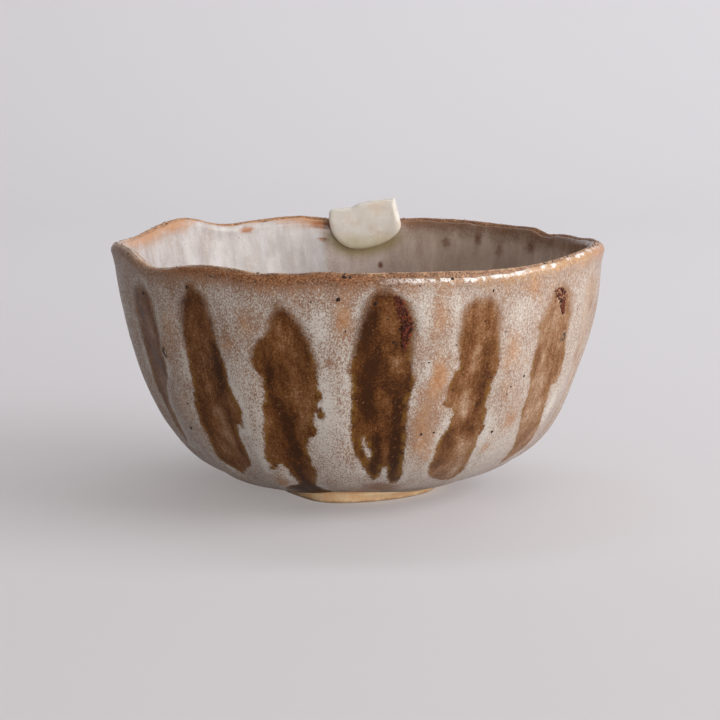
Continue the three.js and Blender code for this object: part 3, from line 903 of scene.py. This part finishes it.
def burst_bubbles(material):
    """Small craters where a bubble broke in the outside glaze: a raised rim round a hollow painted dark as
    its shade.
    """
    around = np.radians(np.arange(0, 360, 12))
    # How dark the shade in each ring of the crater is painted
    dark = np.repeat([shade for _, _, shade in CRATER], len(around))
    for i, (turn, height, wide, long) in enumerate(BURST_BUBBLES):
        (place,), (normal,) = skin_at([turn], [up_the_wall(height)])
        side = sideways(turn)
        up = np.cross(normal, side)
        ring = np.stack([np.cos(around), np.sin(around), np.full(len(around), i)], axis=1)
        ragged = 1 + uneven(ring, CRATER_RIM)
        rows = [[place + normal * CRATER_ROOT]]
        for reach, lift, _ in CRATER:
            x = np.cos(around) * ragged * reach * wide / 2
            y = np.sin(around) * ragged * reach * long / 2
            rows.append(place + x[:, None] * side + y[:, None] * up + normal * lift)
        mesh = wrapped_mesh(f"burst_bubble_{i + 1}", rows + [[place + normal * CRATER_FLOOR]])
        give(mesh, "painted_pit_shade", np.concatenate([[0], dark, [1]]))
        piece(mesh, material, "outer_glaze")


# Materials
class Nodes:
    """Adds nodes to a tree. A socket given as an input is linked; anything else is set on the input."""

    def __init__(self, tree):
        self.tree = tree

    def dress(self, node, inputs):
        for key, value in inputs.items():
            if isinstance(value, bpy.types.NodeSocket):
                self.tree.links.new(value, node.inputs[key])
            else:
                node.inputs[key].default_value = value
        return node

    def add(self, kind, inputs, **settings):
        node = self.tree.nodes.new("ShaderNode" + kind)
        for key, value in settings.items():
            setattr(node, key, value)
        return self.dress(node, inputs)

    def math(self, operation, a, b):
        return self.add("Math", {0: a, 1: b}, operation=operation).outputs[0]

    def times(self, *values):
        return reduce(lambda a, b: self.math("MULTIPLY", a, b), values)

    def total(self, *values):
        return reduce(lambda a, b: self.math("ADD", a, b), values)

    def mix(self, share, a, b):
        return self.add("Mix", {0: share, 6: a, 7: b}, data_type="RGBA").outputs[2]

    def between(self, value, low, high, at_low=0.0, at_high=1.0):
        inputs = {"Value": value, "From Min": low, "From Max": high, "To Min": at_low, "To Max": at_high}
        return self.add("MapRange", inputs, interpolation_type="SMOOTHSTEP").outputs["Result"]

    def noise(self, vector, size, detail=2.0, roughness=0.5, shift=(0.0, 0.0, 0.0), stretch=1.0):
        scale = (1 / size, 1 / size, 1 / (size * stretch))
        scaled = self.add("Mapping", {"Vector": vector, "Location": shift, "Scale": scale}).outputs[0]
        inputs = {"Vector": scaled, "Scale": 1.0, "Detail": detail, "Roughness": roughness}
        return self.add("TexNoise", inputs).outputs[0]

    def swing(self, vector, size, reach, **more):
        """Noise about 0, of that reach to either side."""
        about = self.math("SUBTRACT", self.noise(vector, size, **more), 0.5)
        return self.times(about, 2 * reach)

    def ramp(self, value, stops):
        node = self.add("ValToRGB", {0: value})
        marks = node.color_ramp.elements
        while len(marks) < len(stops):
            marks.new(1.0)
        for mark, (place, colour) in zip(marks, stops):
            mark.position, mark.color = place, colour
        return node.outputs[0]

    def group(self, tree, **inputs):
        return self.add("Group", inputs, node_tree=tree).outputs

    def axis(self, vector, letter):
        return self.add("SeparateXYZ", {0: vector}).outputs[letter]

    def attribute(self, name, vector=False):
        node = self.add("Attribute", {}, attribute_name=name)
        return node.outputs["Vector" if vector else "Fac"]


def effect(name, inputs, outputs):
    """An empty shader node group: its tree, its node maker, its inputs and a function that sets an output."""
    tree = bpy.data.node_groups.new(name, "ShaderNodeTree")
    for sockets, way in ((inputs, "INPUT"), (outputs, "OUTPUT")):
        for socket, kind in sockets.items():
            tree.interface.new_socket(name=socket, in_out=way, socket_type="NodeSocket" + kind)
    given = tree.nodes.new("NodeGroupInput").outputs
    result = tree.nodes.new("NodeGroupOutput").inputs
    return tree, Nodes(tree), given, lambda key, value: tree.links.new(value, result[key])


def specks_effect():
    """Scattered round specks: one in some of the cells of a lattice, each of its own size."""
    inputs = {"Vector": "Vector", "Spacing": "Float", "Radius": "Float", "Share": "Float"}
    tree, n, given, put = effect("scattered_specks", inputs, {"Mask": "Float"})
    per_mm = n.math("DIVIDE", 1.0, given["Spacing"])
    cells = n.add("TexVoronoi", {"Vector": given["Vector"], "Scale": per_mm})
    random = n.add("SeparateColor", {0: cells.outputs["Color"]}).outputs
    size = n.times(given["Radius"], n.between(random[1], 0.0, 1.0, 0.45, 1.25))
    away = n.times(cells.outputs["Distance"], given["Spacing"])
    spot = n.between(n.math("SUBTRACT", away, size), 0.06, -0.06)
    put("Mask", n.times(spot, n.math("LESS_THAN", random[0], given["Share"])))
    return tree


def milk_effect():
    """Milky glaze: fine white flecks over a pinkish ground, thick and thin in clouds, with warm blushes."""
    inputs = {"Vector": "Vector", "Milk": "Float", "Blush": "Float", "Frost": "Float"}
    tree, n, given, put = effect("milky_frost", inputs, {"Color": "Color"})
    wall = given["Vector"]
    clouds = n.swing(wall, 7.0, 0.55, detail=3.0, roughness=0.55, stretch=1.7)
    thick = n.total(n.times(clouds, given["Frost"]), given["Milk"])
    fleck = n.swing(wall, 0.33, 0.62, detail=3.0, roughness=0.78, shift=(4.1, 2.7, 9.0), stretch=1.6)
    fleck = n.times(fleck, given["Frost"])
    ground = n.mix(n.noise(wall, 11.0, 2.0, 0.5, (8.0, 1.0, 3.0)), paint(143, 108, 85), paint(159, 122, 98))
    patches = n.swing(wall, 4.2, 1.0, detail=3.0, roughness=0.65, shift=(1.5, 6.0, 2.0), stretch=1.3)
    warm = n.between(n.total(patches, given["Blush"]), 0.0, 1.1)
    mottle = n.between(n.noise(wall, 1.3, 3.0, 0.7, (3.0, 3.0, 1.0), 1.4), 0.35, 0.65)
    ground = n.mix(warm, ground, n.mix(mottle, paint(176, 125, 87), paint(195, 153, 117)))
    strands = n.swing(wall, 0.6, 0.26, detail=3.0, roughness=0.75, shift=(2.0, 9.0, 4.0), stretch=3.0)
    strands = n.times(strands, n.math("SUBTRACT", 1.0, given["Frost"]))
    lying = n.total(fleck, strands, n.times(thick, 0.24), n.times(warm, -0.04))
    put("Color", n.mix(n.between(lying, -0.13, 0.23), ground, paint(218, 209, 199)))
    return tree


def toast_effect():
    """How far the glaze is toasted through near the lip: full at the edge, dithered away below it."""
    inputs = {"Vector": "Vector", "Below": "Float", "Reach": "Float", "Grain": "Float"}
    tree, n, given, put = effect("toasted_edge", inputs, {"Mask": "Float"})
    wall = given["Vector"]
    wander = n.swing(wall, 5.0, 0.6, shift=(3.0, 3.0, 0.0))
    grain = n.swing(wall, 0.4, 1.0, detail=3.0, roughness=0.75, shift=(5.0, 1.0, 0.0), stretch=1.3)
    grain = n.times(grain, given["Grain"])
    share = n.math("DIVIDE", given["Below"], given["Reach"])
    put("Mask", n.between(n.total(share, wander, grain), 1.6, 0.3))
    return tree


def grain_effect():
    """Open clay: sandy grain and a slow change of tone."""
    tree, n, given, put = effect("clay_grain", {"Vector": "Vector"}, {"Tone": "Float", "Sand": "Float"})
    put("Tone", n.noise(given["Vector"], 4.0, 3.0, 0.6))
    put("Sand", n.noise(given["Vector"], 0.45, 3.0, 0.7, (2.0, 7.0, 1.0)))
    return tree


def grit_effect():
    """Dense dark grit, as much of it as the amount from 0 to 1 says."""
    tree, n, given, put = effect("dark_grit", {"Vector": "Vector", "Amount": "Float"}, {"Mask": "Float"})
    grains = n.noise(given["Vector"], 0.36, 3.0, 0.8, (6.0, 3.0, 8.0), 1.2)
    lying = n.math("SUBTRACT", grains, n.between(given["Amount"], 0.0, 1.0, 0.75, 0.46))
    put("Mask", n.between(lying, 0.0, 0.08))
    return tree


def ripple_effect():
    """Height of a fired glaze: soft orange peel with tiny pits."""
    tree, n, given, put = effect("glaze_ripple", {"Vector": "Vector"}, {"Height": "Float"})
    peel = n.noise(given["Vector"], 1.7, 2.0, 0.5, (0.0, 4.0, 0.0))
    pores = n.noise(given["Vector"], 0.5, 1.0, 0.5, (9.0, 2.0, 0.0))
    put("Height", n.total(peel, n.times(n.between(pores, 0.28, 0.4), 0.25)))
    return tree


SPECKS, MILK, TOAST = specks_effect(), milk_effect(), toast_effect()
GRAIN, GRIT, RIPPLE = grain_effect(), grit_effect(), ripple_effect()


def new_material(name):
    """A material with its node maker and its Principled shader."""
    material = bpy.data.materials.new(name)
    material.use_nodes = True
    return material, Nodes(material.node_tree), material.node_tree.nodes["Principled BSDF"]


def place_mm(n):
    """Place on the object in mm."""
    spot = n.add("TexCoord", {}).outputs["Object"]
    return n.add("VectorMath", {0: spot, "Scale": 1 / MM}, operation="SCALE").outputs[0]


def bumped(n, height, distance, strength=0.5):
    """A normal from a height map whose full height is that distance in mm."""
    return n.add("Bump", {"Height": height, "Distance": distance * MM, "Strength": strength}).outputs[0]


def speckled(n, colour, spot, tint, depth, **specks):
    """A colour with scattered specks of a tint over it, as strong as the depth from 0 to 1 says."""
    mask = n.group(SPECKS, Vector=spot, **specks)["Mask"]
    return n.mix(n.times(mask, depth), colour, tint)


def painted(n, wall, below, milk):
    """Brush strokes over the milk: soft tops, ragged honey edges lower down, streaked brown bodies."""
    ragged = n.swing(wall, 1.7, 1.0, detail=3.0, roughness=0.62, shift=(2.0, 5.0, 7.0), stretch=1.8)
    wisps = n.swing(wall, 0.5, 1.1, detail=3.0, roughness=0.75, shift=(3.0, 8.0, 1.0), stretch=1.5)
    edge = n.total(n.attribute("stroke"), ragged, wisps)
    body = n.between(n.math("DIVIDE", edge, n.between(below, 6.0, 30.0, 2.5, 0.42)), -1.0, 1.0)
    broken = n.between(n.noise(wall, 2.5, 2.0, 0.5, (7.0, 3.0, 5.0)), 0.4, 0.6, 0.15, 1.0)
    honey = n.times(n.between(edge, -0.5, 0.2), n.between(edge, 1.7, 0.4),
                    n.between(below, 12.0, 30.0, 0.25, 0.65), broken)
    weight = n.total(n.attribute("stroke_weight"), n.swing(wall, 1.3, 0.17, detail=3.0, stretch=7.0),
                     n.swing(wall, 0.45, 0.09, detail=2.0, shift=(5.0, 5.0, 2.0), stretch=12.0),
                     n.swing(wall, 2.6, 0.4, detail=3.0, roughness=0.6, shift=(6.0, 2.0, 4.0), stretch=1.8),
                     n.swing(wall, 0.42, 0.6, detail=3.0, roughness=0.8, shift=(1.0, 2.0, 4.0), stretch=1.3))
    brown = n.ramp(weight, [(0.0, paint(204, 176, 148)), (0.25, paint(164, 125, 93)),
                            (0.55, paint(126, 81, 44)), (0.8, paint(92, 53, 23)), (1.0, paint(62, 34, 13))])
    brown = speckled(n, brown, wall, paint(206, 176, 142), 0.35, Spacing=1.0, Radius=0.13, Share=0.36)
    brown = speckled(n, brown, wall, paint(46, 26, 14), 0.55, Spacing=0.85, Radius=0.17, Share=0.25)
    brown = n.mix(honey, brown, paint(140, 100, 42))
    body = n.times(body, n.between(n.attribute("stroke_weight"), -0.1, 0.35, 0.3, 1.0))
    return n.mix(body, milk, brown)


def outer_glaze_material():
    material, n, shader = new_material("milky_outer_glaze")
    wall = n.attribute("unrolled", vector=True)
    below = n.attribute("below_lip")
    edge = n.attribute("stroke")
    frost = n.attribute("frost")
    broken = n.between(n.noise(wall, 5.0, 2.0, 0.5, (1.0, 1.0, 6.0), 2.0), 0.35, 0.65)
    halo = n.times(n.between(edge, -3.2, -1.0), n.between(edge, 0.6, -0.6, 0.0, 0.5),
                   n.between(frost, 0.5, 0.9), broken)
    # right: share of painted highlight on the coat's upper edge, by turn; below the lip it also keeps the
    # glaze milkier, toasts it lighter and adds coat gloss
    right = n.attribute("edge_highlight")
    pepper = n.attribute("pepper")
    thin = n.times(n.between(below, 7.5, 2.0, 0.0, -0.7), n.between(right, 0.0, 1.0, 1.0, 0.25),
                   n.between(pepper, 0.1, 0.8, 0.4, 1.0))
    milkiness = n.total(n.attribute("milk"), halo, thin)
    warmth = n.times(n.between(below, 9.0, 2.0, 0.0, 0.35), n.between(pepper, 0.1, 0.8))
    warmth = n.total(n.attribute("blush"), warmth)
    milk = n.group(MILK, Vector=wall, Milk=milkiness, Blush=warmth, Frost=frost)["Color"]
    colour = painted(n, wall, below, milk)
    toast = n.group(TOAST, Vector=wall, Below=below, Reach=n.attribute("toast_reach"), Grain=2.3)["Mask"]
    mottle = n.between(n.noise(wall, 0.45, 3.0, 0.75, (7.0, 7.0, 2.0)), 0.38, 0.62)
    toasted = n.mix(right, n.mix(mottle, paint(154, 92, 52), paint(202, 142, 96)), paint(204, 158, 110))
    colour = n.mix(n.times(toast, 0.8), colour, toasted)
    dusty = n.between(frost, 1.0, 0.6, 0.1, 0.5)
    colour = speckled(n, colour, wall, paint(146, 88, 48), 0.42, Spacing=1.4, Radius=0.27, Share=0.4)
    colour = speckled(n, colour, wall, paint(170, 112, 68), dusty, Spacing=0.75, Radius=0.16, Share=0.4)
    colour = speckled(n, colour, wall, paint(64, 38, 26), 0.75, Spacing=2.4, Radius=0.24, Share=0.28)
    # Painted highlight: a jagged white line along the coat's upper edge, where the rolled edge faces the
    # window lamp
    jagged = n.total(n.attribute("below_edge"), n.swing(wall, 0.9, 1.9, detail=4.0, roughness=0.8))
    broken = n.between(n.noise(wall, 2.4, 2.0, 0.5, (4.0, 0.0, 2.0)), 0.4, 0.54)
    white = n.times(right, n.between(jagged, 0.5, 0.1), broken)
    colour = n.mix(white, colour, paint(246, 238, 232))
    lying = n.times(pepper, n.between(below, 6.5, 2.0))
    grit = n.group(GRIT, Vector=wall, Amount=lying)["Mask"]
    colour = n.mix(n.times(grit, 0.68), colour, paint(84, 44, 24))
    rough = n.between(n.noise(wall, 3.5, 2.0), 0.3, 0.7, 0.4, 0.6)
    height = n.group(RIPPLE, Vector=wall)["Height"]
    melted = n.times(n.between(frost, 0.5, 1.0, 0.42, 0.14), n.between(below, 76.0, 62.0))
    shine = n.total(melted, n.times(n.between(below, 5.0, 3.0, 0.0, 0.25), right))
    n.dress(shader, {"Base Color": colour, "Roughness": rough, "IOR": 1.5, "Specular IOR Level": 0.04,
                     "Coat Weight": shine, "Coat Roughness": 0.16, "Normal": bumped(n, height, 0.16)})
    return material


def inner_glaze_material():
    material, n, shader = new_material("milky_inner_glaze")
    wall = n.attribute("unrolled", vector=True)
    below = n.attribute("below_lip")
    brown = n.attribute("brown_half")
    milk = n.attribute("milk")
    colour = n.group(MILK, Vector=wall, Milk=milk, Blush=n.attribute("blush"), Frost=0.8)["Color"]
    streaks = n.between(n.noise(wall, 3.2, 3.0, 0.6, (3.0, 1.0, 2.0), 4.0), 0.32, 0.68)
    pale = n.mix(streaks, paint(184, 175, 174), paint(216, 213, 215))
    clear = n.mix(brown, pale, n.mix(streaks, paint(190, 169, 155), paint(214, 195, 181)))
    colour = n.mix(n.between(n.noise(wall, 2.4, 3.0, 0.5, stretch=5.0), 0.3, 0.7, 0.6, 0.9), colour, clear)
    toast = n.group(TOAST, Vector=wall, Below=below, Reach=n.attribute("toast_reach"), Grain=0.8)["Mask"]
    colour = n.mix(n.times(toast, 0.9), colour, n.mix(brown, paint(196, 140, 94), paint(124, 84, 56)))
    marks = n.total(n.attribute("marks"), n.swing(wall, 0.9, 0.25, detail=3.0))
    marked = n.mix(n.between(brown, 0.0, 0.4), paint(176, 114, 70), paint(112, 68, 42))
    colour = n.mix(n.between(marks, 0.1, 0.7, 0.0, 0.9), colour, marked)
    colour = n.mix(n.times(n.attribute("pool"), 0.75), colour, paint(160, 143, 88))
    colour = speckled(n, colour, wall, paint(96, 66, 48), 0.5, Spacing=2.2, Radius=0.2, Share=0.12)
    rough = n.between(n.noise(wall, 3.5, 2.0), 0.3, 0.7, 0.2, 0.36)
    height = n.group(RIPPLE, Vector=wall)["Height"]
    n.dress(shader, {"Base Color": colour, "Roughness": rough, "IOR": 1.5, "Specular IOR Level": 0.3,
                     "Normal": bumped(n, height, 0.14)})
    return material


def bare_clay_material():
    material, n, shader = new_material("toasted_bare_clay")
    spot = place_mm(n)
    grain = n.group(GRAIN, Vector=spot)
    toasted = n.mix(n.between(grain["Tone"], 0.35, 0.65), paint(176, 116, 74), paint(214, 162, 118))
    toasted = n.mix(n.between(grain["Sand"], 0.38, 0.6, 0.0, 0.7), toasted, paint(78, 46, 30))
    tan = n.mix(n.between(grain["Sand"], 0.35, 0.65), paint(222, 168, 116), paint(178, 120, 76))
    toasted = n.mix(n.attribute("lip_tan"), toasted, tan)
    glazed = n.mix(n.between(grain["Tone"], 0.3, 0.7), paint(188, 162, 146), paint(214, 196, 184))
    toasted = n.mix(n.attribute("lip_pale"), toasted, glazed)
    gritty = n.between(n.attribute("lip_pale"), 0.0, 1.0, 0.85, 0.1)
    grit = n.group(GRIT, Vector=spot, Amount=gritty)["Mask"]
    toasted = n.mix(n.times(grit, 0.82), toasted, paint(58, 31, 19))
    below = n.attribute("below_lip")
    # Painted highlight: the front of the lip's crest is painted pale, as light catching it
    painted_crest_highlight = n.times(n.between(below, 0.8, 0.15), n.between(grain["Tone"], 0.4, 0.6, 0.1, 0.5),
                     n.between(n.axis(spot, "Y"), -20.0, -40.0))
    toasted = n.mix(painted_crest_highlight, toasted, paint(232, 200, 166))
    pale = n.mix(grain["Tone"], paint(194, 146, 100), paint(214, 172, 126))
    colour = n.mix(n.between(below, 6.0, 9.0), toasted, pale)
    n.dress(shader, {"Base Color": colour, "Roughness": n.between(grain["Tone"], 0.3, 0.7, 0.45, 0.65),
                     "Normal": bumped(n, grain["Sand"], 0.14)})
    return material


def foot_clay_material():
    material, n, shader = new_material("bare_foot_clay")
    spot = place_mm(n)
    grain = n.group(GRAIN, Vector=spot)
    colour = n.mix(n.between(grain["Tone"], 0.3, 0.7), paint(244, 198, 148), paint(253, 222, 178))
    colour = n.mix(n.between(grain["Sand"], 0.4, 0.7, 0.0, 0.22), colour, paint(186, 136, 88))
    specks = n.group(SPECKS, Vector=spot, Spacing=2.6, Radius=0.3, Share=0.2)["Mask"]
    colour = n.mix(specks, colour, paint(96, 62, 40))
    # Painted shade: the band along the bottom edge is painted darker, as the shadow where the foot meets the
    # table
    height = n.axis(spot, "Z")
    worn = n.total(height, n.swing(spot, 2.0, 0.5, detail=3.0))
    colour = n.mix(n.between(worn, 0.9, 0.1, 0.0, 0.55), colour, paint(112, 76, 50))
    n.dress(shader, {"Base Color": colour, "Roughness": n.between(grain["Sand"], 0.3, 0.7, 0.7, 0.9),
                     "Normal": bumped(n, grain["Sand"], 0.14)})
    return material


def porcelain_material():
    material, n, shader = new_material("porcelain_glaze")
    spot = place_mm(n)
    slow = n.noise(spot, 6.0, 2.0, 0.5)
    colour = n.mix(n.between(slow, 0.3, 0.7), paint(234, 226, 215), paint(244, 238, 228))
    warm = n.between(n.noise(spot, 3.6, 3.0, 0.55, (2.0, 4.0, 9.0)), 0.52, 0.7, 0.0, 0.4)
    colour = n.mix(warm, colour, paint(226, 198, 172))
    creeping = n.total(n.axis(spot, "Z"), n.swing(spot, 3.0, 1.5))
    colour = n.mix(n.between(creeping, 62.0, 57.0, 0.0, 0.7), colour, paint(208, 196, 154))
    colour = speckled(n, colour, spot, paint(150, 128, 100), 0.5, Spacing=3.2, Radius=0.22, Share=0.2)
    height = n.group(RIPPLE, Vector=spot)["Height"]
    n.dress(shader, {"Base Color": colour, "Roughness": n.between(slow, 0.3, 0.7, 0.18, 0.32), "IOR": 1.5,
                     "Normal": bumped(n, height, 0.1)})
    return material


def iron_material(name, dark, light):
    """Iron grains, between a dark and a lighter colour."""
    material, n, shader = new_material(name)
    grain = n.group(GRAIN, Vector=place_mm(n))
    tone = n.times(n.attribute("grain_tone"), n.between(grain["Sand"], 0.35, 0.6, 0.3, 1.0))
    n.dress(shader, {"Base Color": n.mix(tone, dark, light),
                     "Roughness": n.between(grain["Tone"], 0.3, 0.7, 0.4, 0.6), "Specular IOR Level": 0.2,
                     "Normal": bumped(n, grain["Sand"], 0.08)})
    return material


def bubble_material():
    material, n, shader = new_material("burst_bubble_glaze")
    spot = place_mm(n)
    milk = n.mix(n.noise(spot, 0.5), paint(130, 94, 66), paint(186, 152, 122))
    # Painted shade: the crater's hollow is painted dark, as the shade inside it
    colour = n.mix(n.attribute("painted_pit_shade"), milk, paint(60, 44, 34))
    n.dress(shader, {"Base Color": colour, "Roughness": n.between(n.noise(spot, 1.0), 0.3, 0.7, 0.25, 0.4),
                     "Specular IOR Level": 0.25})
    return material


# Stage
def lamp(name, power, size, at, aim, colour):
    """A soft rectangular lamp."""
    light = bpy.data.lights.new(name, "AREA")
    light.shape = "RECTANGLE"
    light.size, light.size_y = size
    light.energy = power
    light.color = colour
    holder = in_scene(name, light)
    holder.location = at
    holder.rotation_euler = (Vector(aim) - Vector(at)).to_track_quat("-Z", "Y").to_euler()


def studio():
    """A pale sweep, four soft lamps, a little light all round and the photo's camera.

    A broad window stands at the right, a low lamp in front, one above, and one washes the backdrop.
    """
    front, depth, height, bend, half = -1.8, 1.3, 1.9, 0.6, 9.0
    line = [(front, 0.0), (depth - bend, 0.0)]
    turn = np.radians(range(6, 91, 6))
    line += [(depth - bend + bend * math.sin(a), bend * (1 - math.cos(a))) for a in turn]
    line += [(depth, height)]
    mesh = bpy.data.meshes.new("paper_sweep")
    faces = [(2 * i, 2 * i + 1, 2 * i + 3, 2 * i + 2) for i in range(len(line) - 1)]
    mesh.from_pydata([(x, y, z) for y, z in line for x in (-half, half)], [], faces)
    mesh.shade_smooth()
    floor = in_scene("paper_sweep", mesh)
    material, n, shader = new_material("pale_paper")
    rays = n.add("LightPath", {}).outputs
    seen = n.total(rays["Is Camera Ray"], rays["Is Glossy Ray"], rays["Is Transmission Ray"])
    n.dress(shader, {"Base Color": paint(186, 186, 192), "Roughness": 0.9, "Specular IOR Level": 0.1,
                     "Emission Color": paint(221, 213, 210), "Emission Strength": n.times(seen, PAPER_GLOW)})
    mesh.materials.append(material)

    for row in LAMPS:
        lamp(*row)
    world = bpy.data.worlds.new("room_light")
    world.use_nodes = True
    Nodes(world.node_tree).dress(world.node_tree.nodes["Background"], ROOM_LIGHT)
    bpy.context.scene.world = world

    camera = bpy.data.cameras.new("photo_camera")
    camera.lens = CAMERA_LENS
    camera.sensor_width = 36.0
    camera.clip_start = 0.01
    eye = in_scene("photo_camera", camera)
    eye.location = Vector((AXIS.x, AXIS.y, 0)) + CAMERA_AT
    eye.rotation_euler = (math.radians(90 - CAMERA_DOWN), 0, 0)
    bpy.context.scene.camera = eye
    bpy.context.scene.view_settings.view_transform = "Standard"


studio()
clay_body(bare_clay_material())
foot_ring(foot_clay_material())
outer_coat(outer_glaze_material())
inner_coat(inner_glaze_material())
porcelain_tab(porcelain_material())
dark_iron = iron_material("dark_iron", paint(38, 26, 22), paint(70, 46, 36))
lip_crumbs(dark_iron)
iron_spots(dark_iron)
iron_crusts(iron_material("red_iron_crust", paint(44, 18, 12), paint(142, 68, 44)))
burst_bubbles(bubble_material())
